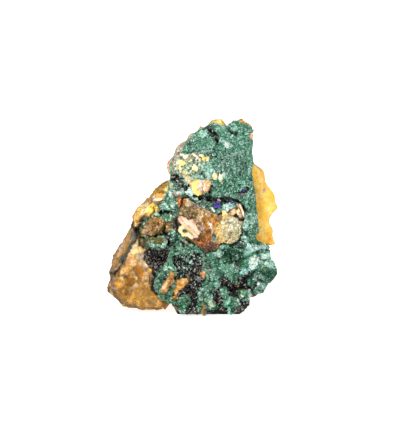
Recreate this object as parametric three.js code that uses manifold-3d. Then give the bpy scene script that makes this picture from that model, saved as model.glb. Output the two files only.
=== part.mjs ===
// Azurite and malachite on limonite: a small cabinet specimen that stands on a flat break.
// Millimetres, +Z up. The green crust faces -Y. The origin is under the middle of the specimen.
import * as THREE from 'three';
import { ImprovedNoise } from 'three/addons/math/ImprovedNoise.js';
import { mergeVertices } from 'three/addons/utils/BufferGeometryUtils.js';
import Module from 'manifold-3d';

// Driving dimensions
const GAP = 0.3;                // clearance between pieces that touch
const FACE_Y = -13;             // front of the crust at the foot
const LEAN = 0.136;             // how far the face goes back for each millimetre of height
const CRUST_THICKNESS = 2.7;
const BACK_Y = 14;              // back of the host rock
const CRUST_CELLS = 25;         // cells across the crust's face
const ROCK_CELLS = 14;          // cells across a large lump of rock
const LATH_COUNT = 42;          // short crystals that stand on the crust
const LATH_LENGTH = 2.6;
const LATH_RADIUS = 1;
const ROUGH_WAVE = 7;           // length of the waves that roughen a lump
const SIDE_GAP = 0.5;           // clearance of the crust from the roughened side lumps
const FAR = 200;                // reach of the cutting boxes

// Outlines seen from the front, as [x, z] in order round the piece
const BODY_OUTLINE = [
  [-8, -2], [-17, -2], [-22.6, 1.6], [-25.4, 5.6], [-26, 9], [-24.4, 15], [-21.6, 21], [-19.2, 26],
  [-18, 30], [-15.4, 33.6], [-11.4, 37.6], [-7.8, 40.2], [-7.6, 44.7], [-6.9, 48], [-5, 51], [-0.5, 55.6],
  [4.6, 59], [7.8, 60.9], [10.6, 60.4], [12.6, 58.8], [15.6, 61], [18, 60.2], [19, 57.5], [18.4, 48.6],
  [18, 42], [19, 34], [20, 26], [21, 21], [23, 16], [25, 12], [24, 8], [21.5, 4.8], [17.7, 1.5], [15, -2],
];
const LOBE_OUTLINE = [
  [-9.4, 1.4], [-16.5, 1.2], [-20.5, 1.9], [-23.6, 3.5], [-26.1, 6], [-26.9, 8.2], [-26.4, 11.9],
  [-25.1, 15.7], [-22.9, 20.2], [-20.6, 24.5], [-19.4, 27], [-16, 27.5], [-13, 24], [-11.4, 18.9],
  [-10.1, 12.4], [-8.4, 7.5], [-8, 4.4],
];
const SLAB_OUTLINE = [
  [17, 49], [19, 48.4], [20.6, 46.5], [22.6, 43.2], [24.2, 40.2], [26, 36], [27, 32.4], [26.3, 30.2],
  [25.1, 28.5], [24.9, 26.8], [25.6, 24], [26.8, 20], [21, 19.6], [14, 20], [12, 34],
];
const YELLOW_OUTLINE = [
  [-12.6, 36.4], [-10.4, 33], [-13.6, 30.6], [-16.2, 29.4], [-17.8, 26.4], [-19.4, 26.8], [-19.5, 29],
  [-18.7, 31.6], [-16.8, 33.7], [-14.6, 35.6],
];
const WEDGE_OUTLINE = [
  [-13.4, 35.4], [-12.4, 37.6], [-10.7, 39.6], [-8.8, 40.7], [-6.4, 41], [-5.4, 38], [-8, 35], [-10.7, 34],
];
const CRUST_OUTLINE = [
  [-6.6, 3.4], [-4.8, 0.6], [5, 0.4], [12.8, 0.5], [18, 2], [19.6, 5.7], [22.4, 6.8], [24.4, 8.8],
  [27, 13.2], [26, 17], [24, 22], [21.8, 22.5], [21, 28], [20.3, 35.4], [19, 46], [18.4, 49.5],
  [19.6, 52.3], [19.2, 56], [19.6, 58.2], [17.6, 60], [14.4, 60.7], [12.6, 60.4], [11, 59.7], [7, 60.1],
  [4.2, 59], [0.2, 56.6], [-4, 52.6], [-6.1, 49.4], [-6.8, 46.4], [-6.4, 43], [-8.2, 39.5],
  [-10.1, 37], [-12.6, 34.5], [-14.8, 32], [-16, 28.5], [-16.4, 24], [-14.4, 20.5], [-13, 16.7],
  [-11.2, 14.1], [-12, 11.2], [-11.6, 8.1], [-9.6, 5.4],
];
const CENTRE_WINDOW = { centre: [6, 28], cells: 18, outline: [
  [-3, 37], [0, 37.4], [3, 34.6], [7.8, 31.8], [11, 32.8], [15, 34.4], [17.2, 33], [16, 29], [16.3, 26],
  [14, 23], [9.5, 23], [7.8, 20.6], [4, 20], [0, 23.4], [-3.4, 25.4], [-4.8, 29.5], [-3.6, 33.4],
] };
const LEFT_WINDOW = { centre: [-11.6, 28.4], cells: 8, outline: [
  [-14.4, 29.8], [-12, 31.4], [-9.6, 31], [-8.4, 28.6], [-9, 26], [-12, 25], [-15, 26.4],
] };

const CREVICE_OUTLINE = [
  [0.4, 38.2], [7, 37.3], [14.6, 37.5], [17.8, 32.8], [16.4, 32.2], [14.2, 35.6], [7.4, 35], [2, 36],
];

// Flat breaks of the back and sides: a point of each, its turn about Z and its tip about X in degrees
const BREAKS = [
  { at: [0, 12.6, 30], turn: 14, tip: 6 },
  { at: [12, 11.4, 20], turn: -32, tip: 4 },
  { at: [6, 9, 50], turn: -6, tip: 24 },
  { at: [-17, 9.4, 12], turn: 38, tip: 10 },
  { at: [-4, 12.4, 8], turn: 4, tip: -16 },
];

// Rises (+) and hollows (-) of the green face: place, half sizes, turn in degrees and height
const FACE_RELIEF = [
  { name: 'upper plate', x: 11, z: 47, wide: 13, tall: 17, turn: 0, rise: 1.2 },
  { name: 'top bulge', x: 14, z: 57, wide: 6, tall: 4, turn: 0, rise: 0.9 },
  { name: 'crack', x: 6.6, z: 57, wide: 3, tall: 0.9, turn: -45, rise: -2 },
  { name: 'pit', x: -4.6, z: 43.7, wide: 1.5, tall: 1.3, turn: 0, rise: -2.1 },
  { name: 'cream field', x: -0.5, z: 47, wide: 4.5, tall: 4, turn: 0, rise: 1.2 },
  { name: 'block', x: 1.8, z: 40.4, wide: 2.8, tall: 2.2, turn: 0, rise: 2.1 },
  { name: 'ledge shadow', x: 10, z: 35.4, wide: 8.5, tall: 2, turn: -6, rise: -2.9 },
  { name: 'right notch', x: 16.4, z: 38.6, wide: 1.8, tall: 1.2, turn: 20, rise: -2 },
  { name: 'shoulder lump', x: -6.4, z: 35.9, wide: 3, tall: 3.6, turn: 20, rise: 2.3 },
  { name: 'box lump', x: -7.8, z: 31.1, wide: 1.6, tall: 1.5, turn: 0, rise: 1.7 },
  { name: 'shelf', x: -11.4, z: 23.8, wide: 4.2, tall: 2.3, turn: 8, rise: 3.1 },
  { name: 'dark lump', x: -5.6, z: 25, wide: 1.7, tall: 2.6, turn: 20, rise: 2.3 },
  { name: 'upper rib', x: -7.3, z: 18.4, wide: 4.2, tall: 1, turn: 69, rise: 1.8 },
  { name: 'lower rib', x: -10.7, z: 10.4, wide: 4, tall: 1.1, turn: 75, rise: 1.5 },
  { name: 'long drop', x: -7.8, z: 10, wide: 3.9, tall: 1.4, turn: 61, rise: 2.1 },
  { name: 'short drop', x: -3.4, z: 9, wide: 4.3, tall: 1.4, turn: 57, rise: 1.8 },
  { name: 'black field', x: 0.4, z: 10.5, wide: 2.6, tall: 8.5, turn: 0, rise: -2.5 },
  { name: 'middle drop', x: 3.9, z: 13.2, wide: 0.9, tall: 1.2, turn: 0, rise: 1.6 },
  { name: 'left ball', x: -3, z: 3.7, wide: 2.3, tall: 2.3, turn: 0, rise: 2.5 },
  { name: 'column', x: 5, z: 6, wide: 2.4, tall: 5.2, turn: 0, rise: 1.2 },
  { name: 'pale ball', x: 6.9, z: 3.9, wide: 1.8, tall: 1.8, turn: 0, rise: 2 },
  { name: 'long channel', x: 12.8, z: 8, wide: 4.4, tall: 1.3, turn: -42, rise: -2.1 },
  { name: 'short channel', x: 17, z: 8.3, wide: 3, tall: 1, turn: -16, rise: -1.8 },
  { name: 'tall lump', x: 10.1, z: 6.9, wide: 1.1, tall: 1.8, turn: 0, rise: 1.5 },
  { name: 'low hollow', x: 8.8, z: 1.6, wide: 2.4, tall: 1.8, turn: 0, rise: -1.8 },
  { name: 'lower ball', x: 11.6, z: 3.7, wide: 1.5, tall: 1.8, turn: 0, rise: 2 },
  { name: 'second ball', x: 14.3, z: 3.8, wide: 1.6, tall: 1.6, turn: 0, rise: 1.9 },
  { name: 'diamond ball', x: 16.3, z: 6.8, wide: 1.5, tall: 1.5, turn: 0, rise: 1.9 },
  { name: 'lower field', x: 15, z: 15, wide: 11, tall: 8, turn: 0, rise: 1.4 },
  { name: 'pale star', x: 19.6, z: 17, wide: 3.4, tall: 3.4, turn: 0, rise: 1 },
];

// Rises and hollows of the bare rock that shows in the windows of the crust
const KNOB_RELIEF = [
  { name: 'cream nodule', x: 12.3, z: 26.6, wide: 5, tall: 5, turn: 0, rise: 2.4 },
  { name: 'small knob', x: 10.2, z: 31.4, wide: 2.2, tall: 1.8, turn: 0, rise: 1.4 },
  { name: 'bladed splinters', x: 15.4, z: 32.4, wide: 2, tall: 2.6, turn: -30, rise: 1.2 },
  { name: 'tan mound', x: 0.4, z: 33, wide: 3.8, tall: 3.4, turn: -20, rise: 1.2 },
  { name: 'peach leaf', x: -1, z: 27.3, wide: 4.2, tall: 2.2, turn: -35, rise: 1 },
  { name: 'orange patch', x: 6.2, z: 28.6, wide: 3, tall: 3.2, turn: 0, rise: 0.7 },
  { name: 'rust patch', x: 4.6, z: 23, wide: 3.8, tall: 2.6, turn: 0, rise: 0.9 },
  { name: 'dark seam', x: -3.4, z: 28.2, wide: 1.4, tall: 3, turn: 0, rise: -1 },
];

// Materials
const limonite = new THREE.MeshStandardMaterial({ color: 0xbd9654, roughness: 0.82, metalness: 0 });
const malachite = new THREE.MeshStandardMaterial({ color: 0x3d8a66, roughness: 0.6, metalness: 0 });
const azurite = new THREE.MeshStandardMaterial({ color: 0x2c2396, roughness: 0.35, metalness: 0 });

const wasm = await Module();
wasm.setup();
const noise = new ImprovedNoise();

// Repeatable random numbers from 0 to 1
function randomNumbers(seed) {
  let state = seed;
  return () => {
    state = (state * 1664525 + 1013904223) % 4294967296;
    return state / 4294967296;
  };
}

// A closed geometry as a solid that can be joined and cut
function toSolid(geometry) {
  const bare = geometry.clone();
  bare.deleteAttribute('normal');
  bare.deleteAttribute('uv');
  const merged = mergeVertices(bare, 1e-4);
  const vertProperties = new Float32Array(merged.attributes.position.array);
  const triVerts = new Uint32Array(merged.index.array);
  return new wasm.Manifold(new wasm.Mesh({ numProp: 3, vertProperties, triVerts }));
}

function join(geometries) {
  return geometries.map(toSolid).reduce((all, piece) => all.add(piece));
}

function toGeometry(solid) {
  const mesh = solid.getMesh();
  const geometry = new THREE.BufferGeometry();
  geometry.setAttribute('position', new THREE.BufferAttribute(mesh.vertProperties, 3));
  geometry.setIndex(new THREE.BufferAttribute(mesh.triVerts, 1));
  geometry.computeVertexNormals();
  return geometry;
}

function moveVertices(geometry, move) {
  const position = geometry.attributes.position;
  const point = new THREE.Vector3();
  for (let i = 0; i < position.count; i += 1) {
    point.fromBufferAttribute(position, i);
    move(point);
    position.setXYZ(i, point.x, point.y, point.z);
  }
  return geometry;
}

// Pushes each point aside by up to `amount`, in waves about `size` long
function roughen(point, amount, size) {
  const [a, b, c] = [point.x / size, point.y / size, point.z / size];
  point.x += amount * noise.noise(a + 7.3, b, c);
  point.y += amount * noise.noise(a, b + 3.9, c);
  point.z += amount * noise.noise(a, b, c + 5.7);
}

// Distance from `centre` to the outline in a direction
function reachOf(outline, centre, angle) {
  const [dx, dz] = [Math.cos(angle), Math.sin(angle)];
  let reach = 0;
  outline.forEach(([x1, z1], i) => {
    const [x2, z2] = outline[(i + 1) % outline.length];
    const [ax, az, ex, ez] = [x1 - centre[0], z1 - centre[1], x2 - x1, z2 - z1];
    const cross = dx * ez - dz * ex;
    if (Math.abs(cross) < 1e-9) return;
    const along = (dx * az - dz * ax) / -cross;
    const out = (ax * ez - az * ex) / cross;
    if (along >= 0 && along <= 1 && out > reach) reach = out;
  });
  return reach;
}

// Angle of a point of a square, spread evenly round the matching circle
function squareAngle(u, v) {
  if (u === 0 && v === 0) return 0;
  if (Math.abs(u) >= Math.abs(v)) return (Math.PI / 4) * (v / u) + (u < 0 ? Math.PI : 0);
  return Math.PI / 2 - (Math.PI / 4) * (u / v) + (v < 0 ? Math.PI : 0);
}

// A closed lump with an outline seen from the front, and a front and a back depth for each x and z.
// `taper` narrows both ends, `round` drops the faces at the rim, `skew` slides the front aside and
// `spread` under 1 gives the middle larger cells than the rim.
function lump({ outline, centre, front, back, cells, layers = 4, taper = 0.06, round = 1, skew = [0, 0],
  rough = 0.5, grow = 0, spread = 1 }) {
  const geometry = new THREE.BoxGeometry(2, 2, 2, cells, layers, cells);
  return moveVertices(geometry, (point) => {
    const { x: u, y: w, z: v } = point;
    const ring = Math.max(Math.abs(u), Math.abs(v));
    const angle = squareAngle(u, v);
    const reach = (reachOf(outline, centre, angle) + grow) * ring ** spread * (1 - taper * w * w);
    point.x = centre[0] + reach * Math.cos(angle) - skew[0] * w;
    point.z = centre[1] + reach * Math.sin(angle) - skew[1] * w;
    const drop = round * ring ** 6;
    const near = front(point.x, point.z) + drop;
    const far = back(point.x, point.z) - drop;
    point.y = near + (far - near) * (w + 1) / 2;
    roughen(point, rough, ROUGH_WAVE);
  });
}

// A faceted boulder with half sizes [x, y, z]
function boulder(place, half, { detail = 1, turn = 0, rough = 1.2, grow = 0 } = {}) {
  const grown = half.map((size) => size + grow);
  const geometry = new THREE.IcosahedronGeometry(1, detail).scale(...grown).rotateY(turn);
  geometry.translate(...place);
  return moveVertices(geometry, (point) => roughen(point, rough, 3.1));
}

// A straight-sided cutter through the whole depth, `grow` wider than the window
function through(window, grow) {
  return toSolid(lump({ ...window, front: () => -FAR, back: () => FAR, layers: 1, taper: 0, round: 0,
    rough: 0, grow }));
}

// Bare rock that stands up through a window, `rise` above the plain knobs
function knob(window, rise) {
  return lump({ ...window, front: (x, z) => knobFace(x, z) - rise, back: () => 0, layers: 2, taper: 0,
    round: 0.5, rough: 0 });
}

// A box that holds everything behind the bed, the leaning plane on which the crust grew
function behindBed(forward) {
  const bed = new THREE.BoxGeometry(FAR, FAR, FAR).translate(0, FAR / 2, 0);
  return bed.rotateX(-Math.atan(LEAN)).translate(0, FACE_Y + CRUST_THICKNESS - forward, 0);
}

// Everything higher than `height`
function above(height) {
  return toSolid(new THREE.BoxGeometry(FAR, FAR, FAR).translate(0, 0, height + FAR / 2));
}

// Sum of the rises and hollows at x, z
function reliefAt(list, x, z) {
  return list.reduce((sum, mark) => {
    const turn = THREE.MathUtils.degToRad(mark.turn);
    const [dx, dz] = [x - mark.x, z - mark.z];
    const along = (dx * Math.cos(turn) + dz * Math.sin(turn)) / mark.wide;
    const aside = (dz * Math.cos(turn) - dx * Math.sin(turn)) / mark.tall;
    const inside = Math.max(0, 1 - along * along - aside * aside);
    return sum + mark.rise * Math.sqrt(inside) * inside;
  }, 0);
}

// Depth of the plain leaning face at the height z
function facePlane(z) {
  return FACE_Y + LEAN * z;
}

// Depth of the green face, with its relief and two sizes of waves
function crustFace(x, z) {
  const grain = 0.9 * noise.noise(x / 4.3, 2.5, z / 4.3) + 0.5 * noise.noise(x / 2.1, 8.5, z / 2.1);
  return facePlane(z) - reliefAt(FACE_RELIEF, x, z) - grain;
}

// Depth of the bare rock in the windows
function knobFace(x, z) {
  const grain = 0.8 * noise.noise(x / 3.2, 4.5, z / 3.2);
  return facePlane(z) + 0.6 - reliefAt(KNOB_RELIEF, x, z) - grain;
}

// Whether x, z lies inside an outline
function isInside(outline, x, z) {
  let inside = false;
  outline.forEach(([x1, z1], i) => {
    const [x2, z2] = outline[(i + 1) % outline.length];
    if ((z1 > z) !== (z2 > z) && x < x1 + ((x2 - x1) * (z - z1)) / (z2 - z1)) inside = !inside;
  });
  return inside;
}

// The dark cavity beside the lobe, the small hollow above it and the groove below it
function cavities() {
  const cavity = boulder([-10.4, -12, 17.8], [3.6, 6.8, 3.8], { detail: 2, turn: 0.3, rough: 0.8 });
  const hollow = boulder([-15.9, -9.6, 23.2], [1.7, 3, 2.1], { rough: 0.2 });
  const groove = boulder([-12.6, -11.6, 11], [0.9, 4.6, 4.2], { rough: 0.3 });
  return join([cavity, hollow, groove]);
}

// The dark slot under the ledge of the upper plate, cut through the crust
function crevice() {
  const shape = new THREE.Shape(CREVICE_OUTLINE.map(([x, z]) => new THREE.Vector2(x, z)));
  const block = new THREE.ExtrudeGeometry(shape, { depth: FAR, bevelEnabled: false });
  return toSolid(block.rotateX(Math.PI / 2).translate(0, FAR / 2, 0));
}

// The V-shaped cleft between the lobe and the foot of the crust, narrowing to a point at `end`
function cleft() {
  const [front, end] = [-20, 2];
  const wedge = new THREE.ConeGeometry(1, end - front, 4).scale(4.2, 1, 7.6);
  return toSolid(wedge.translate(-6.8, (front + end) / 2, -1.4));
}

// Everything outside the flat breaks
function offBreaks() {
  return join(BREAKS.map(({ at, turn, tip }) => {
    const block = new THREE.BoxGeometry(FAR, FAR, FAR).translate(0, FAR / 2, 0);
    block.rotateX(THREE.MathUtils.degToRad(tip)).rotateZ(THREE.MathUtils.degToRad(turn));
    return block.translate(...at);
  }));
}

// Lobe and shoulder lumps, which stand forward of the bed beside the crust
function sideLumps(grow) {
  const lobe = lump({ outline: LOBE_OUTLINE, centre: [-16, 11], cells: 11, layers: 4, round: 0.6,
    front: (x, z) => -9.6 - grow + 0.1 * z - 0.9 * noise.noise(x / 6, 5.5, z / 6), back: () => 9,
    taper: 0.1, skew: [1.6, -1.4], rough: 0.7, grow });
  const yellow = lump({ outline: YELLOW_OUTLINE, centre: [-15.4, 31.8], cells: 6, layers: 4, round: 1.2,
    front: (x, z) => -9 - grow + 0.3 * (z - 32), back: () => 6, taper: 0.14, rough: 0.9, grow });
  const wedge = lump({ outline: WEDGE_OUTLINE, centre: [-9.4, 37.6], cells: 5, layers: 3, round: 0.8,
    front: (x, z) => -6.4 - grow + 0.4 * (z - 38), back: () => 8, taper: 0.1, rough: 0.6, grow });
  return join([lobe, yellow, wedge]);
}

// Host rock: body, lobe, orange slab, rims, shoulder lumps and the knobs in the crust's windows
function limoniteMatrix(pockets) {
  const undercut = (x, z) => THREE.MathUtils.smoothstep(-x, 6.5, 9.5)
    * (1 - THREE.MathUtils.smoothstep(z, 8, 16));
  const frontOf = (x, z) => facePlane(z) + 7 * THREE.MathUtils.smoothstep(-x, 8, 15)
    + 8 * undercut(x, z);
  const backOf = (x, z) => BACK_Y - 1.8 * noise.noise(x / 9, 1.5, z / 9);
  const body = lump({ outline: BODY_OUTLINE, centre: [3, 24], cells: ROCK_CELLS, layers: 6, round: 2.5,
    front: frontOf, back: backOf, taper: 0.05, rough: 1.2 });
  const slab = lump({ outline: SLAB_OUTLINE, centre: [20.5, 32], cells: 9, layers: 3, round: 1.6,
    front: (x) => -1.2 + 0.22 * (x - 20), back: () => 11, taper: 0.03, rough: 0.3 });
  const rims = [
    boulder([7.2, 1, 58], [4.2, 5, 3], { turn: 0.1, rough: 0.7 }),
    boulder([16.2, 0.8, 58.2], [3.4, 4.4, 2.8], { turn: -0.2, rough: 0.7 }),
  ];
  const rock = join([body, ...rims, slab]).intersect(toSolid(behindBed(0))).add(sideLumps(0))
    .add(join([knob(CENTRE_WINDOW, 0), knob(LEFT_WINDOW, 0.6)]));
  return largest(rock.subtract(offBreaks()).subtract(cavities()).subtract(cleft()).subtract(pockets)
    .intersect(above(0)));
}

// Short five-sided crystals that lean every way on the face of the crust
function laths(count) {
  const random = randomNumbers(11);
  const found = [];
  while (found.length < count) {
    const x = -17 + 45 * random();
    const z = 6 + 55 * random();
    const [length, radius] = [LATH_LENGTH * (0.7 + 0.6 * random()), LATH_RADIUS * (0.7 + 0.7 * random())];
    const [lean, twist] = [2.4 * (random() - 0.5), Math.PI / 2 + 2 * (random() - 0.5)];
    const clear = [CENTRE_WINDOW, LEFT_WINDOW].every((window) => [-1.2, 0, 1.2].every(
      (step) => !isInside(window.outline, x + step, z) && !isInside(window.outline, x, z + step)));
    const rooted = [-1.5, 1.5].every((step) => isInside(CRUST_OUTLINE, x + step, z)
      && isInside(CRUST_OUTLINE, x, z + step));
    if (clear && rooted) {
      const lath = new THREE.CylinderGeometry(radius * 0.6, radius, length, 5).scale(1, 1, 0.6);
      lath.rotateY(6 * random()).rotateX(twist).rotateZ(lean);
      found.push(lath.translate(x, crustFace(x, z) - length * 0.05, z));
    }
  }
  return found;
}

// Green crust: one plate with windows, ledges, ribs, balls and the crystals fused to its face
function malachiteCrust(pockets) {
  const plate = lump({ outline: CRUST_OUTLINE, centre: CENTRE_WINDOW.centre, cells: CRUST_CELLS, layers: 2,
    front: crustFace, back: (x, z) => facePlane(z) + 2 * CRUST_THICKNESS, taper: 0.01, round: 0.8,
    rough: 0.25, spread: 0.75 });
  return largest(join([plate, ...laths(LATH_COUNT)]).subtract(toSolid(behindBed(GAP)))
    .subtract(through(CENTRE_WINDOW, GAP)).subtract(through(LEFT_WINDOW, GAP))
    .subtract(crevice()).subtract(sideLumps(SIDE_GAP))
    .subtract(cavities()).subtract(cleft()).subtract(pockets).intersect(above(GAP)));
}

// A group of flat-faced azurite crystals on a rounded root, `grow` larger on every side for its pocket
function azuriteCluster({ place, root, blades, seed }, grow) {
  const random = randomNumbers(seed);
  const pieces = [new THREE.DodecahedronGeometry(root + grow).translate(...place)];
  for (let i = 0; i < blades; i += 1) {
    const [wide, thick, long] = [0.8 * root, 0.42 * root, root * (1.2 + 0.5 * random())];
    const blade = new THREE.CylinderGeometry(0.6, 1, long + grow, 5);
    blade.scale(wide + grow, 1, thick + grow).translate(0, long / 2, 0);
    blade.rotateY(Math.PI * random()).rotateX(Math.PI / 2 + 1.6 * (random() - 0.5));
    pieces.push(blade.rotateZ(1.9 * (random() - 0.5)).translate(...place));
  }
  return join(pieces);
}

// The largest body of a solid, without crumbs that a cut left loose
function largest(solid) {
  const bodies = solid.decompose();
  return bodies.reduce((best, body) => (body.volume() > best.volume() ? body : best));
}

function named(name, solid, material) {
  const mesh = new THREE.Mesh(toGeometry(solid), material);
  mesh.name = name;
  return mesh;
}

const CLUSTERS = [
  { name: 'azurite_cluster_large', place: [8.3, -8.4, 35], root: 0.95, blades: 6, seed: 3 },
  { name: 'azurite_cluster_middle', place: [12.8, -8.2, 35.8], root: 0.6, blades: 3, seed: 5 },
  { name: 'azurite_cluster_small', place: [16, -7.4, 39.4], root: 0.6, blades: 3, seed: 8 },
];

const pockets = CLUSTERS.map((cluster) => azuriteCluster(cluster, GAP))
  .reduce((all, pocket) => all.add(pocket));
const specimen = new THREE.Group();
specimen.add(named('limonite_matrix', limoniteMatrix(pockets), limonite));
specimen.add(named('malachite_crust', malachiteCrust(pockets), malachite));
CLUSTERS.forEach((cluster) => specimen.add(named(cluster.name, azuriteCluster(cluster, 0), azurite)));

// Centre the specimen over the origin
const bounds = new THREE.Box3().setFromObject(specimen);
const middle = bounds.getCenter(new THREE.Vector3());
specimen.position.set(-middle.x, -middle.y, -bounds.min.z);

export default specimen;
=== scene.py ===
import math

import bmesh
import bpy
import numpy as np
from mathutils import Matrix, Vector
from mathutils.bvhtree import BVHTree


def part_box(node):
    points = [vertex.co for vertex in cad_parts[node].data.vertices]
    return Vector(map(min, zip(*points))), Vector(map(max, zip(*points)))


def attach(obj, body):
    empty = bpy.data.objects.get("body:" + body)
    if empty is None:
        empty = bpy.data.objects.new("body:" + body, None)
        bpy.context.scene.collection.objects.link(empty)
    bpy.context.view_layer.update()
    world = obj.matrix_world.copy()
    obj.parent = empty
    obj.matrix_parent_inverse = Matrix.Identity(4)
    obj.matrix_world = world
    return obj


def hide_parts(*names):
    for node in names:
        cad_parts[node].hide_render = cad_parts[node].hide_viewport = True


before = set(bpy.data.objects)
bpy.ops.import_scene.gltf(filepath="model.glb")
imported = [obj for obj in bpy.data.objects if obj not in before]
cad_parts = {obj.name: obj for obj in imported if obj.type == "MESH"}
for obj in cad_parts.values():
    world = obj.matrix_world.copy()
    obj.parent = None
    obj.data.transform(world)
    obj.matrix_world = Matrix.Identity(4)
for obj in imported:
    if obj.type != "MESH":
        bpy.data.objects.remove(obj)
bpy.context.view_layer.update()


# Studio: a pale floor, even white surroundings, and soft light from above and a little to the left.
# The camera looks at the green face from slightly above, through a long lens.
MM = 0.001
VIEW_WIDTH = 133.1 * MM          # width of the view at the specimen
CAMERA_DISTANCE = 600 * MM
CAMERA_ELEVATION = math.radians(12)
CAMERA_TARGET = Vector((5.33, -0.7, 29.0)) * MM
SENSOR_WIDTH = 36.0


def put_in_scene(name, data):
    """A new object of the scene, at its origin."""
    thing = bpy.data.objects.new(name, data)
    bpy.context.scene.collection.objects.link(thing)
    return thing


def finished_mesh(name, bm):
    """A mesh made from a bmesh, which is then used up."""
    mesh = bpy.data.meshes.new(name)
    bm.to_mesh(mesh)
    bm.free()
    return mesh


camera_data = bpy.data.cameras.new("camera")
camera_data.sensor_fit = "HORIZONTAL"
camera_data.sensor_width = SENSOR_WIDTH
camera_data.lens = SENSOR_WIDTH * CAMERA_DISTANCE / VIEW_WIDTH
camera_data.clip_start = 0.01
camera = put_in_scene("camera", camera_data)
away = Vector((0.0, -math.cos(CAMERA_ELEVATION), math.sin(CAMERA_ELEVATION)))
camera.location = CAMERA_TARGET + CAMERA_DISTANCE * away
camera.rotation_euler = (math.pi / 2 - CAMERA_ELEVATION, 0.0, 0.0)
bpy.context.scene.camera = camera

world = bpy.data.worlds.new("white room")
world.use_nodes = True
room_light = world.node_tree.nodes["Background"]
room_light.inputs["Color"].default_value = (1.0, 1.0, 1.0, 1.0)
room_light.inputs["Strength"].default_value = 0.42
bpy.context.scene.world = world
bpy.context.scene.view_settings.view_transform = "Standard"


def add_sun(name, towards, strength, spread):
    """A soft light that shines from the direction `towards`, as wide as `spread` degrees."""
    data = bpy.data.lights.new(name, "SUN")
    data.energy = strength
    data.angle = math.radians(spread)
    light = put_in_scene(name, data)
    light.rotation_euler = Vector(towards).to_track_quat("Z", "Y").to_euler()


add_sun("key light", towards=(-0.35, -0.62, 0.9), strength=2.6, spread=9)
add_sun("sparkle light", towards=(0.55, -0.7, 0.55), strength=0.7, spread=5)

floor_bm = bmesh.new()
bmesh.ops.create_grid(floor_bm, x_segments=8, y_segments=8, size=3.0)
floor_mesh = finished_mesh("floor", floor_bm)
floor = put_in_scene("floor", floor_mesh)

card = bpy.data.materials.new("pale card")
card.use_nodes = True
card_shader = card.node_tree.nodes["Principled BSDF"]
card_shader.inputs["Roughness"].default_value = 0.9
card_shader.inputs["Base Color"].default_value = (0.8, 0.8, 0.8, 1.0)
card_shader.inputs["Emission Color"].default_value = (1.0, 1.0, 1.0, 1.0)
card_shader.inputs["Emission Strength"].default_value = 0.82
floor_mesh.materials.append(card)


# Host rock: ochre to rust-brown limonite, grown together with the lobe on the left, the waxy orange
# slab on the right and the knobs that stand up in the windows of the green crust. It is broken off
# flat underneath and rough behind.
TABLE_ROWS = 4096                # rows of a table of random values, a power of two
SCATTER = (73856093, 19349663, 83492791)


def table_row(cell):
    """The row of a random table that belongs to each cell of a grid; neighbours lie far apart in it."""
    mixed = np.zeros(len(cell), dtype=np.int64)
    for steps, factor in zip(cell.T, SCATTER):
        mixed ^= steps * factor
    return mixed & (TABLE_ROWS - 1)


def waves(points, size, seed):
    """Smooth random values from -1 to 1 at each point, with waves `size` millimetres long."""
    table = np.random.default_rng(seed).uniform(-1.0, 1.0, TABLE_ROWS)
    scaled = points / (size * MM)
    cell = np.floor(scaled).astype(np.int64)
    part = scaled - cell
    part = part * part * (3.0 - 2.0 * part)
    total = np.zeros(len(points))
    for corner in range(8):
        step = np.array([corner & 1, corner >> 1 & 1, corner >> 2 & 1])
        weight = np.prod(np.where(step == 1, part, 1.0 - part), axis=1)
        total += table[table_row(cell + step)] * weight
    return total


def swell(points, *layers):
    """Waves laid over each other. Each layer is its height, its length in millimetres and its seed."""
    return sum(height * waves(points, size, seed) for height, size, seed in layers)


def between(values, low, high):
    """0 at `low` or below, 1 at `high` or above, and smooth between them."""
    share = np.clip((values - low) / (high - low), 0.0, 1.0)
    return share * share * (3.0 - 2.0 * share)


def tone(colour):
    """A screen colour, with red, green and blue from 0 to 255, as linear light."""
    screen = np.array(colour) / 255.0
    return np.where(screen <= 0.04045, screen / 12.92, ((screen + 0.055) / 1.055) ** 2.4)


def plain(colour, count):
    """The same screen colour at `count` points."""
    return np.tile(tone(colour), (count, 1))


def lay(tint, weight, colour):
    """Lays a screen colour over `tint` where `weight` is 1."""
    return tint + (tone(colour) - tint) * weight[:, None]


FACE_FOOT = -13.08               # depth of the green face at its foot, in millimetres
FACE_LEAN = 0.136                # how far the face goes back for each millimetre of height
FRONT_END = -4.0                 # depth at the foot where the front turns into the sides
SIGHT_FALL = math.tan(CAMERA_ELEVATION)
SIGHT_WIDER = 1.0145             # how much larger the face is seen than at the middle of the view
SIGHT_ASIDE = 0.13               # how far the places are seen aside and below, in millimetres
SIGHT_BELOW = 0.74


def flat_places(points):
    """Where points are seen on the leaning face, in millimetres across and up it."""
    right, deep, high = points.T / MM
    up = (high + SIGHT_FALL * (deep - FACE_FOOT)) / (1.0 + FACE_LEAN * SIGHT_FALL)
    return np.column_stack([SIGHT_WIDER * right - SIGHT_ASIDE, SIGHT_WIDER * up - SIGHT_BELOW])


def face_places(points):
    """The same places, swayed a little so that edges come out ragged."""
    aside = swell(points, (0.4, 1.6, 11), (0.3, 0.7, 13))
    upward = swell(points, (0.4, 1.6, 12), (0.3, 0.7, 14))
    return flat_places(points) + np.column_stack([aside, upward])


def line_distance(places, path):
    """How far each place is from a line through the points of `path`."""
    nearest = np.full(len(places), 1e9)
    for start, end in zip(path[:-1], path[1:]):
        run = np.subtract(end, start)
        share = np.clip((places - start) @ run / (run @ run), 0.0, 1.0)
        nearest = np.minimum(nearest, np.linalg.norm(places - start - share[:, None] * run, axis=1))
    return nearest


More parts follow.
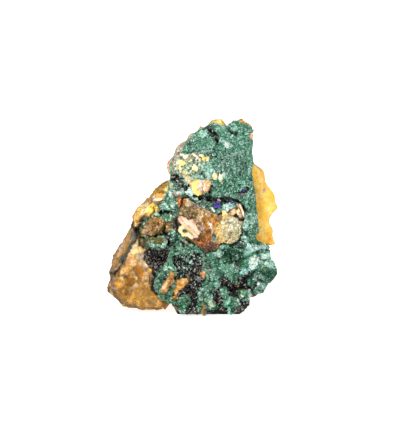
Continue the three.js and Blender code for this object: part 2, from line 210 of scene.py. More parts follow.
def within(places, shape, edge=0.4):
    """1 inside a shape on the face and 0 outside, with an edge `edge` millimetres wide.

    The shape is an oval (x, z, half width, half height, turn), a line [half width, (x, z), ...] or an
    outline [(x, z), ...].
    """
    if isinstance(shape, tuple):
        x, z, wide, tall, turn = shape
        angle = math.radians(turn)
        dx, dz = places[:, 0] - x, places[:, 1] - z
        along = (dx * math.cos(angle) + dz * math.sin(angle)) / wide
        aside = (dz * math.cos(angle) - dx * math.sin(angle)) / tall
        inside = (1.0 - np.hypot(along, aside)) * min(wide, tall)
    elif isinstance(shape[0], tuple):
        ring = shape + shape[:1]
        odd = np.zeros(len(places), dtype=bool)
        for (x1, z1), (x2, z2) in zip(ring[:-1], ring[1:]):
            if z1 != z2:
                crossing = x1 + (x2 - x1) * (places[:, 1] - z1) / (z2 - z1)
                odd ^= ((z1 > places[:, 1]) != (z2 > places[:, 1])) & (places[:, 0] < crossing)
        inside = line_distance(places, ring) * np.where(odd, 1.0, -1.0)
    else:
        inside = shape[0] - line_distance(places, shape[1:])
    return between(inside, -edge / 2, edge / 2)


def front_of(points):
    """1 on the front of the specimen and 0 behind its middle."""
    depth_at_foot = points[:, 1] / MM - FACE_LEAN * points[:, 2] / MM
    return 1.0 - between(depth_at_foot, FRONT_END, 0.0)


def nudge(points, pushes):
    """Moves points near each place of the face aside: name, (x, z), reach, (right, up) in millimetres."""
    places = flat_places(points)
    for _, place, reach, (right, up) in pushes:
        near = between(reach - np.linalg.norm(places - place, axis=1), 0.0, reach)
        points = points + near[:, None] * np.array([right, 0.0, up]) * MM
    return points


CLEFT_MIDDLE = -6.6              # where the arch between the lobe and the foot of the crust is highest
CLEFT_HEIGHT = 3.8               # how high it is there, in millimetres


def open_cleft(points):
    """Lifts points clear of the arch, which is steeper on its right."""
    right, up = flat_places(points).T
    aside = right - CLEFT_MIDDLE
    roof = CLEFT_HEIGHT - np.where(aside < 0.0, 1.3, 1.9) * np.abs(aside)
    lack = np.clip(roof - up, 0.0, None) * between(roof, 0.0, 0.3)
    return points + lack[:, None] * np.array([0.0, 0.0, 1.0 + FACE_LEAN * SIGHT_FALL]) * MM


def divide_evenly(piece, grain):
    """Divides the surface of a piece evenly into cells of `grain` millimetres."""
    remesh = piece.modifiers.new("even grain", "REMESH")
    remesh.mode = "VOXEL"
    remesh.voxel_size = grain * MM
    graph = bpy.context.evaluated_depsgraph_get()
    mesh = bpy.data.meshes.new_from_object(piece.evaluated_get(graph))
    piece.modifiers.clear()
    piece.data = mesh


def fine_copy(name, node, grain):
    """A copy of a solid of the frame, merged and divided evenly into cells of `grain` millimetres."""
    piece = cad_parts[node].copy()
    piece.data = piece.data.copy()
    piece.name = name
    piece.parent = None
    piece.matrix_world = Matrix.Identity(4)
    bpy.context.scene.collection.objects.link(piece)
    merged = bmesh.new()
    merged.from_mesh(piece.data)
    bmesh.ops.remove_doubles(merged, verts=merged.verts, dist=0.001 * MM)
    merged.to_mesh(piece.data)
    merged.free()
    divide_evenly(piece, grain)
    piece.data.materials.clear()
    return piece


def read_surface(mesh):
    """The points of a mesh and their outward directions."""
    points = np.empty(len(mesh.vertices) * 3)
    normals = np.empty(len(mesh.vertices) * 3)
    mesh.vertices.foreach_get("co", points)
    mesh.vertex_normals.foreach_get("vector", normals)
    return points.reshape(-1, 3), normals.reshape(-1, 3)


def move_surface(mesh, points):
    """Moves the points of a mesh."""
    mesh.vertices.foreach_set("co", points.ravel())
    mesh.update()


def smooth_faces(mesh):
    """Shades a mesh without visible facets."""
    mesh.polygons.foreach_set("use_smooth", np.ones(len(mesh.polygons), dtype=bool))


def put_tint(mesh, tint, shine):
    """Keeps a colour and a shine at each point of a mesh."""
    layer = mesh.attributes.new("tint", "FLOAT_COLOR", "POINT")
    layer.data.foreach_set("color", np.column_stack([tint, np.ones(len(tint))]).ravel())
    gloss = mesh.attributes.new("shine", "FLOAT", "POINT")
    gloss.data.foreach_set("value", shine)


def graded(material, source, ends, span=(0.0, 1.0)):
    """The value of `source`, turned from `span` into `ends`."""
    grade = material.node_tree.nodes.new("ShaderNodeMapRange")
    for socket, value in zip(("From Min", "From Max", "To Min", "To Max"), span + ends):
        grade.inputs[socket].default_value = value
    material.node_tree.links.new(source, grade.inputs["Value"])
    return grade.outputs["Result"]


def stone_finish(name, roughness, gloss, grain, relief, contrast, mirror):
    """A stone that takes its colour from `tint`, with grains `grain` millimetres wide.

    `gloss` is how much less rough it is where `shine` is 1, `relief` is its bump in millimetres,
    `contrast` is how far the grains differ in brightness where `shine` is 0, and `mirror` is how
    strongly the stone reflects.
    """
    material = bpy.data.materials.new(name)
    material.use_nodes = True
    nodes = material.node_tree.nodes
    links = material.node_tree.links
    shader = nodes["Principled BSDF"]
    place = nodes.new("ShaderNodeTexCoord").outputs["Object"]
    colour = nodes.new("ShaderNodeAttribute")
    colour.attribute_name = "tint"
    speckle = nodes.new("ShaderNodeTexNoise")
    speckle.inputs["Scale"].default_value = 1.0 / (grain * MM)
    speckle.inputs["Detail"].default_value = 3.0
    speckle.inputs["Roughness"].default_value = 0.65
    links.new(place, speckle.inputs["Vector"])
    shine = nodes.new("ShaderNodeAttribute")
    shine.attribute_name = "shine"
    light_and_dark = graded(material, speckle.outputs["Fac"], (-1.0, 1.0), span=(0.32, 0.68))
    swing = nodes.new("ShaderNodeMath")
    swing.operation = "MULTIPLY_ADD"
    swing.inputs[2].default_value = 1.0
    links.new(light_and_dark, swing.inputs[0])
    links.new(graded(material, shine.outputs["Fac"], (contrast, 0.2 * contrast)), swing.inputs[1])
    mixed = nodes.new("ShaderNodeVectorMath")
    mixed.operation = "SCALE"
    links.new(colour.outputs["Color"], mixed.inputs[0])
    links.new(swing.outputs["Value"], mixed.inputs["Scale"])
    links.new(mixed.outputs["Vector"], shader.inputs["Base Color"])
    shader.inputs["Specular IOR Level"].default_value = mirror
    rough = graded(material, shine.outputs["Fac"], (roughness, roughness - gloss))
    links.new(rough, shader.inputs["Roughness"])
    bump = nodes.new("ShaderNodeBump")
    bump.inputs["Distance"].default_value = relief * MM
    links.new(speckle.outputs["Fac"], bump.inputs["Height"])
    links.new(bump.outputs["Normal"], shader.inputs["Normal"])
    return material


# Screen colours: red, green and blue from 0 to 255
OCHRE = (172, 128, 62)
PALE_OCHRE = (200, 160, 102)
BROWN = (134, 94, 44)
ORANGE = (255, 192, 72)
OXIDE = (26, 23, 21)
PALE_GRAIN = (236, 214, 184)
DARK_GRAIN = (70, 50, 30)
PALE_ORANGE = (255, 222, 128)
DEEP_ORANGE = (236, 158, 54)
RUST_SPECK = (186, 120, 48)

# Parts of the rock as they are seen on the face: ovals, and a line along the foot
LOBE = (-17.0, 9.0, 12.0, 11.0, 0)
WINDOW = (6.2, 28.6, 11.0, 9.6, 0)
NODULE = (12.6, 26.8, 4.3, 4.4, 0)
FOOT_EDGE = [1.6, (-5.2, 0.2), (20.0, 0.2)]

# The orange slab is what lies right of, behind and between these, in millimetres
SLAB_LEFT = 18.0
SLAB_FRONT = -3.0
SLAB_FOOT = 18.6
SLAB_TOP = 51.0

# Pushes that finish the outline of the rock
ROCK_PUSHES = [
    ("lobe cheek", (-26.0, 7.2), 5.0, (-1.9, -0.6)),
    ("lobe belly", (-21.5, 3.2), 4.0, (-0.5, -0.9)),
    ("lobe edge", (-25.8, 13.0), 2.8, (-0.9, 0.1)),
    ("back of the yellow shoulder", (-15.6, 36.4), 3.2, (0.8, -1.3)),
    ("left bump of the top", (9.4, 61.4), 2.0, (0.2, 0.9)),
    ("saddle of the top", (4.6, 61.6), 2.6, (0.2, -1.9)),
    ("rock notch of the top", (12.2, 61.2), 1.6, (0.0, -1.4)),
    ("right end of the top", (18.2, 60.9), 2.2, (0.2, -1.0)),
    ("upper left rim", (-6.8, 48.2), 3.4, (-1.1, 0.0)),
    ("notch above the shoulder", (-7.2, 43.4), 2.4, (0.9, 0.0)),
    ("low rim of the shoulder", (-4.2, 53.6), 3.0, (-0.5, 0.4)),
    ("rim of the shoulder", (-1.6, 55.8), 3.0, (0.3, 0.0)),
    ("high rim of the shoulder", (1.2, 58.4), 3.0, (0.7, -0.3)),
    ("slab top edge", (22.6, 45.4), 4.0, (0.9, 0.6)),
    ("slab edge", (25.2, 37.6), 5.0, (1.4, 0.0)),
    ("slab belly", (26.4, 34.0), 2.6, (1.3, 0.0)),
    ("knob low left", (-14.6, 26.8), 2.0, (-1.2, -0.5)),
    ("knob high right", (-9.6, 30.2), 2.0, (0.9, 0.5)),
    ("slab low edge", (24.6, 26.6), 3.0, (1.1, 0.0)),
    ("slab corner", (25.6, 23.0), 3.0, (1.3, -0.7)),
    ("right foot", (19.5, 4.0), 3.4, (-1.6, 1.2)),
]

# Places of the rock with a colour of their own, and a few of painted shadow or painted light: name, shape,
# colour, strength
ROCK_PLACES = [
    ("upper rim", [1.5, (-7.4, 44.0), (-6.9, 48.0), (-5.2, 51.6), (-0.6, 56.0), (4.6, 59.6)],
     (206, 168, 132), 0.8),
    ("rim flecks", [0.35, (-5.0, 52.4), (-4.0, 53.6), (-3.2, 54.2)], (52, 40, 40), 0.8),
    ("rim pink", [0.6, (-2.6, 54.8), (0.4, 57.2)], (220, 190, 168), 0.7),
    ("rim blush", [0.8, (-5.6, 45.0), (-5.4, 48.6), (-4.0, 53.4)], (196, 168, 152), 0.8),
    ("rim shades", [0.3, (-6.8, 46.4), (-6.2, 48.2), (-6.0, 49.6)], (60, 44, 42), 0.8),
    ("left bump", (9.6, 61.0, 3.0, 1.6, 0), (250, 206, 116), 0.95),
    ("left bump pink", (6.4, 60.4, 1.4, 0.7, 20), (236, 208, 168), 0.8),
    ("right bump", (16.4, 60.9, 2.6, 1.2, 0), (238, 164, 62), 0.95),
    ("side wall", [(-20.4, 28.0), (-17.0, 27.8), (-17.6, 23.0), (-20.0, 19.8), (-22.2, 16.0), (-24.6, 13.2),
     (-27.5, 12.0), (-26.0, 20.0)], (150, 126, 98), 0.95),
    ("pink wall", [0.8, (-21.6, 23.6), (-23.0, 20.0), (-24.0, 18.0)], (186, 164, 148), 0.6),
    ("grey band", [1.0, (-18.4, 26.4), (-18.9, 24.4), (-20.2, 21.4), (-21.2, 19.0), (-22.4, 16.6)],
     (84, 84, 72), 0.95),
    ("dark streak", [0.3, (-17.4, 27.2), (-18.2, 23.8), (-19.8, 20.6)], (44, 42, 36), 0.9),
    ("grey streak", [0.25, (-18.8, 26.2), (-20.2, 22.6)], (122, 118, 106), 0.8),
    ("ochre spots", [0.7, (-20.6, 24.4), (-21.6, 20.6), (-23.9, 18.2), (-25.2, 15.2)], (176, 124, 48), 0.8),
    ("green smear", (-23.2, 17.2, 0.5, 1.2, -30), (92, 108, 84), 0.9),
    ("pink lip", [0.35, (-24.8, 14.0), (-22.6, 15.8)], (222, 188, 158), 0.9),
    ("edge crack", [0.35, (-22.0, 16.8), (-23.8, 14.2), (-25.6, 12.0), (-26.2, 13.0)], OXIDE, 1.0),
    ("dark edge", [0.4, (-26.8, 13.0), (-27.2, 9.0), (-26.8, 7.0)], (70, 66, 56), 0.9),
    ("brown edge", [0.7, (-25.6, 11.8), (-25.6, 8.2), (-24.8, 6.2), (-23.4, 4.6)], (122, 98, 74), 0.85),
    ("crown", [(-17.6, 24.0), (-15.2, 20.6), (-15.2, 17.6), (-13.2, 16.4), (-16.5, 15.4), (-19.4, 15.4),
     (-21.6, 15.6), (-20.2, 19.4)], (226, 190, 142), 0.85),
    ("crown orange", (-20.0, 17.6, 0.9, 1.6, -30), (216, 156, 102), 0.8),
    ("crown grey", (-16.3, 18.8, 1.1, 1.4, 20), (178, 158, 144), 0.85),
    ("crown yellow", (-17.0, 20.3, 1.5, 0.6, 10), (244, 208, 124), 0.9),
    ("crown ochre", (-18.2, 18.0, 0.5, 1.3, 0), (214, 160, 74), 0.8),
    # Pale stone, lightened further as painted light against the shadow of the crust's edge.
    ("crown foot with painted light", (-14.0, 15.8, 1.6, 1.1, 25), (255, 234, 202), 0.9),
    ("orange shoulder", (-20.4, 15.0, 1.4, 0.9, 20), (228, 168, 80), 0.85),
    ("pale cheek", (-22.0, 13.6, 1.0, 0.7, 40), (218, 178, 126), 0.8),
    ("grey line", [0.35, (-19.0, 15.2), (-19.1, 12.8)], (150, 126, 106), 0.85),
    ("brown heart", [(-18.9, 15.4), (-17.4, 16.2), (-15.9, 14.8), (-15.4, 13.2), (-15.8, 11.0),
     (-17.4, 11.0), (-18.4, 12.4)], (172, 112, 34), 0.85),
    ("heart shade", (-18.0, 12.5, 0.6, 0.4, 0), (104, 64, 22), 0.85),
    ("grey cheek", (-14.8, 13.8, 0.7, 1.1, 0), (164, 134, 108), 0.85),
    ("yellow knuckle", [(-14.2, 15.0), (-13.0, 15.8), (-12.0, 14.8), (-12.0, 13.2), (-13.0, 12.4),
     (-14.0, 13.4)], (234, 188, 100), 0.9),
    ("knuckle green", (-13.2, 13.1, 0.5, 0.4, 0), (176, 150, 66), 0.8),
    ("brown left", [(-22.4, 12.8), (-20.2, 12.9), (-18.6, 11.4), (-18.8, 9.4), (-21.0, 8.2), (-22.6, 10.0)],
     (146, 96, 28), 0.85),
    ("brown low left", [(-24.0, 7.6), (-22.4, 9.2), (-20.8, 8.6), (-20.6, 6.4), (-22.0, 5.2), (-23.6, 5.8)],
     (142, 98, 30), 0.8),
    ("dark low left", [0.4, (-24.6, 7.4), (-24.2, 5.8), (-22.6, 4.6)], (122, 96, 66), 0.6),
    ("dark fleck", (-20.8, 9.3, 0.5, 0.4, 0), (84, 60, 28), 0.9),
    ("grey fleck", (-21.9, 12.2, 0.6, 0.3, 0), (112, 92, 82), 0.9),
    ("cream fleck", (-22.8, 11.5, 0.7, 0.5, 0), (240, 206, 126), 0.9),
    ("orange fleck", (-23.9, 9.4, 1.0, 0.8, 0), (218, 150, 52), 0.85),
    ("pale vein", [0.25, (-19.2, 13.4), (-17.9, 11.2)], (226, 196, 146), 0.9),
    ("pink fleck", (-18.4, 8.9, 0.8, 0.6, 0), (218, 192, 166), 0.8),
    ("pale speckle", (-14.6, 11.4, 1.5, 2.0, 0), (204, 164, 116), 0.7),
    ("orange belly", (-17.8, 4.6, 3.0, 1.4, 0), (212, 156, 70), 0.7),
    ("grey foot", [0.8, (-24.0, 4.8), (-22.0, 3.4), (-18.0, 2.4)], (150, 118, 84), 0.7),
    ("dark foot", [0.4, (-24.6, 5.2), (-22.6, 3.2), (-19.6, 2.2), (-16.0, 1.7), (-10.0, 1.5)],
     (104, 76, 42), 0.8),
    ("olive fleck", (-12.2, 2.9, 0.8, 0.5, 0), (150, 110, 20), 0.9),
    ("orange foot", (-11.8, 5.8, 1.2, 1.3, 0), (184, 128, 48), 0.8),
    ("brown toe", (-9.0, 3.0, 1.5, 1.2, 0), (146, 102, 54), 0.85),
    ("toe light", (-9.6, 2.8, 0.6, 0.5, 0), (206, 150, 74), 0.8),
    ("cavity lip", [0.5, (-14.6, 20.6), (-14.7, 19.0), (-14.2, 17.8), (-13.0, 16.8)], (92, 70, 50), 0.9),
    ("lobe groove", [0.85, (-11.6, 15.4), (-12.1, 13.0), (-12.6, 11.0), (-12.6, 8.4), (-11.4, 6.6)],
     (24, 19, 16), 1.0),
    ("pale left of yellow", (-15.9, 33.9, 2.7, 2.2, 35), (234, 212, 166), 0.9),
    ("brown in pale", [0.3, (-14.8, 34.6), (-15.4, 32.8), (-14.2, 31.8)], (190, 158, 114), 0.6),
    ("yellow crown", [(-14.2, 34.6), (-12.6, 35.2), (-10.8, 34.2), (-10.8, 32.8), (-12.2, 31.4),
     (-13.8, 31.4), (-14.4, 33.0)], (248, 208, 96), 0.95),
    ("yellow lip", [0.8, (-16.6, 33.6), (-17.6, 31.6), (-17.4, 30.6)], (232, 184, 92), 0.85),
    ("orange flank", [0.5, (-17.4, 34.2), (-18.9, 32.0), (-19.4, 29.8)], (206, 146, 60), 0.9),
    # Darker on the underside of the yellow shoulder.
    ("dark underside of the shoulder", [1.0, (-19.2, 29.0), (-18.6, 28.1), (-17.9, 27.8)], (58, 38, 14), 1.0),
    ("pale tooth", (-17.9, 28.9, 0.35, 0.8, 20), (246, 198, 124), 0.9),
    ("dark slot", [(-16.6, 29.6), (-15.9, 30.9), (-15.0, 31.6), (-15.2, 30.4), (-15.8, 29.4)], (44, 30, 20),
     1.0),
    ("olive wedge", [(-13.0, 38.4), (-11.2, 38.6), (-9.4, 38.8), (-8.4, 40.4), (-7.6, 42.5), (-10.5, 43.0),
     (-13.5, 41.0)], (142, 112, 42), 0.95),
    ("wedge brown", (-9.6, 40.6, 1.2, 0.7, 30), (176, 136, 58), 0.7),
    ("orange wedge", (-10.2, 38.0, 1.2, 0.7, -10), (222, 156, 68), 0.9),
    ("pink wedge", (-12.1, 37.5, 0.7, 0.6, 0), (206, 184, 170), 0.9),
    ("grey wedge foot", [0.5, (-13.4, 36.8), (-12.4, 36.4), (-11.2, 35.2)], (122, 108, 96), 0.8),
    ("peach wedge", [0.45, (-12.0, 36.5), (-10.6, 36.7), (-9.4, 37.0)], (252, 226, 196), 0.95),
    ("left knob", [(-15.9, 27.2), (-14.6, 25.4), (-12.0, 25.1), (-9.4, 26.0), (-8.0, 27.8), (-8.6, 29.8),
     (-10.0, 31.4), (-12.0, 31.2), (-13.6, 29.6), (-14.8, 28.4)], (166, 128, 78), 0.95),
    ("left knob pale", (-14.4, 26.8, 1.3, 0.9, -10), (190, 146, 106), 0.8),
    ("left knob light", (-11.3, 27.7, 0.5, 0.5, 0), (222, 176, 110), 0.9),
    ("left knob brown", [0.6, (-13.0, 28.8), (-11.6, 29.8), (-9.4, 29.4)], (150, 106, 48), 0.8),
    ("left knob gaps", [0.25, (-12.6, 26.6), (-11.4, 28.4), (-10.4, 29.0)], (92, 66, 36), 0.7),
    ("left knob olive", [(-9.8, 27.8), (-8.4, 28.4), (-7.6, 27.2), (-9.0, 26.2), (-11.4, 25.2),
     (-12.4, 25.8)], (112, 94, 44), 0.9),
    ("knob corner", [(-15.4, 30.8), (-13.0, 31.5), (-11.8, 31.0), (-14.4, 28.4), (-15.8, 28.4)],
     (106, 112, 86), 0.85),
    ("olive strip", [0.7, (-16.7, 27.6), (-16.9, 25.8)], (112, 118, 86), 0.9),
    ("window ground", (6.0, 28.5, 14.0, 11.0, 0), (162, 132, 92), 0.9),
    ("olive mound", [(-3.6, 34.6), (-1.0, 35.4), (1.8, 34.6), (2.6, 32.4), (1.8, 31.0), (0.4, 30.0),
     (-2.0, 30.6), (-3.6, 31.0)], (146, 122, 78), 0.95),
    # Tan stone, lightened further as painted light against the shadow of the crust's edge.
    ("tan left of the mound with painted light", (-3.7, 33.4, 1.1, 1.5, 0), (214, 190, 144), 0.85),
    ("pale seam", [0.6, (-1.6, 35.2), (0.4, 35.6), (1.6, 34.8)], (216, 196, 176), 0.7),
    # Tan stone, lightened further as painted light where the ledge shades it.
    ("tan bump with painted light", (-0.5, 37.1, 1.6, 1.2, -10), (255, 224, 168), 0.95),
    ("rust hollow", [(-5.2, 37.4), (-3.4, 37.2), (-1.8, 36.4), (-2.2, 34.8), (-4.0, 34.2), (-5.2, 33.8)],
     (208, 128, 62), 0.95),
    ("grey seam", [(-5.6, 31.0), (-4.2, 30.6), (-3.2, 28.4), (-3.8, 25.6), (-5.0, 25.6), (-6.8, 27.4)],
     (98, 84, 80), 0.95),
    ("olive edge", (-6.9, 29.0, 1.0, 2.0, -10), (150, 126, 82), 0.9),
    ("beige grains", [(1.8, 34.6), (3.6, 33.2), (5.2, 33.6), (8.2, 31.6), (7.0, 30.6), (4.4, 30.6),
     (3.0, 28.6), (1.6, 30.4), (2.4, 32.2)], (222, 184, 134), 0.95),
    ("pink grey", (3.5, 27.3, 0.9, 1.3, 0), (206, 174, 150), 0.9),
    ("orange patch", [(3.6, 30.2), (6.0, 30.8), (6.6, 32.2), (7.6, 31.6), (8.0, 30.0), (9.2, 28.8),
     (8.4, 27.4), (7.0, 26.8), (5.4, 26.4), (4.4, 27.4)], (208, 136, 44), 0.95),
    ("orange shade", [0.4, (4.2, 30.8), (4.0, 29.4), (4.6, 28.6)], (128, 92, 30), 0.85),
    ("green gap", (7.2, 24.2, 0.8, 1.4, -10), (150, 180, 156), 0.95),
    ("gap shade", [0.35, (6.5, 25.4), (7.2, 25.0), (8.0, 25.2)], (46, 40, 34), 0.9),
    ("gap light", (6.9, 26.2, 0.5, 0.4, 0), (176, 200, 178), 0.9),
    ("rust patch", [(3.0, 25.4), (6.2, 26.4), (6.2, 24.4), (6.8, 23.0), (8.2, 22.4), (7.4, 21.2),
     (2.4, 20.8), (1.2, 22.4), (2.0, 23.8), (2.6, 24.6)], (150, 90, 34), 0.95),
    ("rust heart", (3.6, 23.3, 1.1, 0.8, 0), (178, 110, 58), 0.8),
    ("rust shade", [0.8, (2.2, 21.6), (4.0, 20.9), (6.8, 21.6)], (92, 62, 50), 0.85),
    ("rust right", (5.6, 22.6, 0.9, 0.8, 0), (126, 76, 46), 0.8),
    ("rust top", (5.0, 25.3, 1.2, 1.1, 0), (196, 126, 36), 0.9),
    ("dark groove", [0.3, (4.8, 26.9), (6.0, 26.6)], (96, 60, 22), 0.9),
    ("yellow joint", (8.9, 28.7, 0.6, 0.6, 0), (248, 200, 106), 0.9),
    ("white vein", [0.26, (5.4, 29.2), (6.0, 28.2), (6.2, 27.0), (6.8, 26.2)], (246, 238, 228), 0.95),
    ("cream nodule", (12.6, 26.8, 4.3, 4.4, 0), (238, 224, 176), 0.95),
    ("nodule crown", (13.4, 28.8, 2.2, 1.6, 0), (240, 234, 200), 0.8),
    ("nodule flank", [1.0, (8.6, 28.4), (8.8, 25.4), (10.6, 23.2)], (240, 200, 122), 0.85),
    ("nodule grey", (12.6, 25.8, 0.9, 0.8, 40), (168, 144, 108), 0.8),
    ("nodule green", (15.4, 25.8, 0.9, 1.8, 0), (218, 218, 176), 0.7),
    ("small knob", (10.5, 31.8, 1.0, 1.3, 0), (246, 214, 144), 0.95),
    ("splinter bed", (14.8, 33.0, 2.4, 1.8, -20), (232, 196, 158), 0.9),
    ("splinter gap", [0.5, (14.2, 31.5), (15.6, 30.7), (16.9, 30.6)], OXIDE, 1.0),
    ("right gap", [0.5, (17.2, 33.6), (16.4, 35.2), (15.2, 36.2)], OXIDE, 1.0),
    ("crevice walls", [2.0, (0.6, 38.0), (4.0, 36.8), (8.0, 36.2), (14.0, 36.0), (16.6, 34.0)],
     (58, 92, 74), 1.0),
    ("cavity", (-10.6, 18.3, 5.0, 4.4, 0), (34, 29, 27), 1.0),
    # Painted shadow under the shelf, darker than the black oxide of the cavity.
    ("painted shadow under the shelf", [0.8, (-14.0, 20.6), (-8.0, 20.6)], (8, 7, 7), 1.0),
    ("hollow", (-15.8, 23.2, 1.6, 2.2, 0), (84, 66, 42), 0.95),
    ("hollow rim", [0.35, (-17.2, 23.6), (-16.8, 22.0), (-15.8, 21.2), (-14.8, 22.0)], (30, 26, 20), 0.95),
    ("hollow green", (-16.2, 23.6, 0.5, 0.5, 0), (126, 130, 76), 0.8),
    # Painted shadow in the crevice under the ledge of the upper plate.
    ("crevice", [0.7, (0.8, 37.6), (4.0, 37.0), (8.0, 36.5), (14.0, 36.0), (16.6, 34.0)], (12, 11, 11),
     1.0),
    ("cleft", (-6.6, 5.0, 1.2, 1.4, 0), (40, 32, 24), 0.9),
    ("foot shade", [1.5, (-4.6, -0.4), (2.0, -0.6), (12.0, -0.6), (17.0, 0.6), (20.4, 4.6), (24.6, 7.4)],
     (24, 20, 17), 1.0),
]

# Small stains and streaks of the orange slab, and a painted highlight along its upper edge: name, shape,
# colour
SLAB_FLECKS = [
    ("violet fleck", (23.6, 39.8, 0.5, 0.9, 0), (160, 112, 150)),
    ("brown fleck", (20.4, 39.9, 0.4, 0.3, 0), (140, 88, 60)),
    ("rust fleck", (22.0, 27.6, 0.5, 0.3, 20), (196, 120, 48)),
    # Pale line along the upper edge: painted highlight.
    ("painted highlight of the upper edge", [0.5, (20.4, 47.6), (21.6, 45.4), (22.4, 42.6)], (255, 232, 156)),
    ("right streak", [0.4, (25.0, 37.4), (25.6, 34.4), (24.6, 31.0)], (250, 204, 100)),
    ("lower streak", [0.9, (22.4, 29.6), (23.4, 24.8)], (255, 214, 112)),
]

rock = fine_copy("limonite_rock", "limonite_matrix", grain=0.36)
rock_points, rock_normals = read_surface(rock.data)
right, deep, high = (rock_points / MM).T
inside = np.minimum(right - SLAB_LEFT, deep - SLAB_FRONT)
inside = np.minimum(inside, np.minimum(high - SLAB_FOOT, SLAB_TOP - high))
ragged = swell(rock_points, (1.9, 4.4, 50), (0.9, 1.7, 51), (0.5, 0.8, 53))
slab_part = between(inside + ragged, 0.0, 2.2)
foot_part = 1.0 - between(high, 0.2, 1.6)

# The relief is set in a little, so that its bumps keep to the size of the solid.
rough = swell(rock_points, (0.4, 5.2, 1), (0.32, 2.3, 2), (0.24, 1.2, 3), (0.18, 0.7, 4))
rough = rough * (1.0 - 0.75 * slab_part) - 0.3
rough += swell(rock_points, (0.9, 9.0, 54), (0.4, 4.0, 55)) * (1.0 - front_of(rock_points))
rock_shift = rock_normals * (rough * MM)[:, None]
rock_shift[:, 2] *= 1.0 - foot_part
rock_shift[:, 1] += 1.1 * MM * waves(rock_points, 7.0, 52) * slab_part
rock_points = open_cleft(nudge(rock_points + rock_shift, ROCK_PUSHES))
rock_points[:, 2] = np.maximum(rock_points[:, 2], 0.0)
move_surface(rock.data, rock_points)


def rock_tint(points):
    """Colour of the rock at each point."""
    drift = swell(points, (1.0, 6.5, 5), (0.6, 2.6, 6), (0.3, 1.2, 7))
    tint = lay(plain(OCHRE, len(points)), between(drift, 0.1, 0.9), PALE_OCHRE)
    tint = lay(tint, between(-drift, 0.15, 1.0), BROWN)
    front = np.maximum(front_of(points), within(flat_places(points), FOOT_EDGE))
    stains = swell(points, (1.0, 4.4, 8), (0.5, 1.5, 9))
    tint = lay(tint, between(stains, 0.55, 1.0) * (1.0 - front) * 0.8, OXIDE)
    places = face_places(points)
    for _, shape, colour, strength in ROCK_PLACES:
        tint = lay(tint, within(places, shape) * front * strength, colour)
    flecks = swell(points, (1.0, 1.3, 10), (0.9, 0.8, 15), (0.9, 0.5, 16))
    tint = tint * np.exp(0.36 * flecks)[:, None]
    tint = lay(tint, between(waves(points, 0.9, 47), 0.5, 0.8) * front * 0.3, PALE_GRAIN)
    tint = lay(tint, between(waves(points, 0.8, 48), 0.55, 0.8) * front * 0.6, DARK_GRAIN)
    lobe = within(places, LOBE, 3.0) * front
    window = within(places, WINDOW, 2.0) * front
    tint = tint * (1.0 - 0.2 * window)[:, None]
    return tint * (1.0 - lobe[:, None] * np.array([0.2, 0.22, 0.26]))


tint = rock_tint(rock_points)
places = face_places(rock_points)
slab_drift = swell(rock_points, (1.0, 2.8, 17), (0.5, 1.2, 18))
slab_tint = lay(plain(ORANGE, len(rock_points)), between(slab_drift, 0.1, 0.9), PALE_ORANGE)
slab_tint = lay(slab_tint, between(-slab_drift, 0.4, 1.1), DEEP_ORANGE)
slab_grain = swell(rock_points, (1.0, 0.9, 56), (0.8, 0.5, 57))
slab_tint = slab_tint * np.exp(0.16 * slab_grain)[:, None]
for _, shape, colour in SLAB_FLECKS:
    slab_tint = lay(slab_tint, within(places, shape) * 0.7, colour)
slab_tint = lay(slab_tint, between(waves(rock_points, 1.0, 19), 0.75, 0.95) * 0.5, RUST_SPECK)
tint = tint + (slab_tint - tint) * slab_part[:, None]
nodule = within(places, NODULE) * front_of(rock_points)
put_tint(rock.data, np.clip(tint, 0.0, 1.0), 0.15 + 0.7 * slab_part + 0.4 * nodule * (1.0 - slab_part))

limonite = stone_finish("limonite", roughness=0.85, gloss=0.45, grain=0.5, relief=0.5,
                        contrast=0.5, mirror=0.2)
rock.data.materials.append(limonite)
smooth_faces(rock.data)
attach(rock, "root")
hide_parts("limonite_matrix")


# Green crust: a sheet of malachite a few millimetres thick on the front of the rock, with ledges,
# ribs and round lumps. Black oxide shows where it is thin; between its crystals is painted shade.
GREEN = (92, 172, 134)
DEEP_GREEN = (42, 118, 84)
MINT = (164, 218, 194)
WHITE_MINT = (226, 250, 242)
SEAM_GREEN = (70, 116, 92)
CREAM_FIELD = (-0.6, 47.8, 5.6, 4.0, 0)

# The foot of the crust bows forward, most in its middle, in millimetres
BOW_MIDDLE = 4.0
BOW_HALF_WIDTH = 15.0
BOW = 2.2

# Pushes that finish the outline of the crust
CRUST_PUSHES = [
    ("right shoulder", (24.2, 23.8), 2.2, (-1.0, -1.0)),
    ("upper right edge", (26.8, 18.4), 3.2, (-0.9, 0.0)),
    ("lower right edge", (25.4, 8.8), 3.4, (-0.8, 0.1)),
    ("right foot", (20.8, 5.0), 3.2, (-1.4, 0.8)),
    ("foot at the cleft", (-5.6, 0.8), 2.2, (0.8, 0.5)),
    ("right end of the foot", (15.8, 0.8), 2.0, (-1.2, 0.0)),
    ("strip beside the slab", (22.2, 24.6), 2.6, (-1.7, 0.0)),
    ("cavity corner", (-13.2, 15.8), 2.2, (0.9, 0.2)),
    ("notch of the top", (11.2, 61.0), 1.8, (0.0, -0.7)),
    ("rim above the field", (-5.4, 52.6), 3.4, (0.1, 0.0)),
    ("rim of the upper left", (-1.6, 56.0), 3.6, (0.1, -0.1)),
    ("mound of the top", (14.0, 60.4), 2.2, (0.0, 0.6)),
    ("corner of the top", (18.4, 59.6), 2.2, (0.4, -0.3)),
    ("lower right corner", (26.4, 13.4), 2.6, (0.5, 0.0)),
    ("right rim of the plate", (19.0, 49.0), 4.0, (0.8, 0.0)),
]

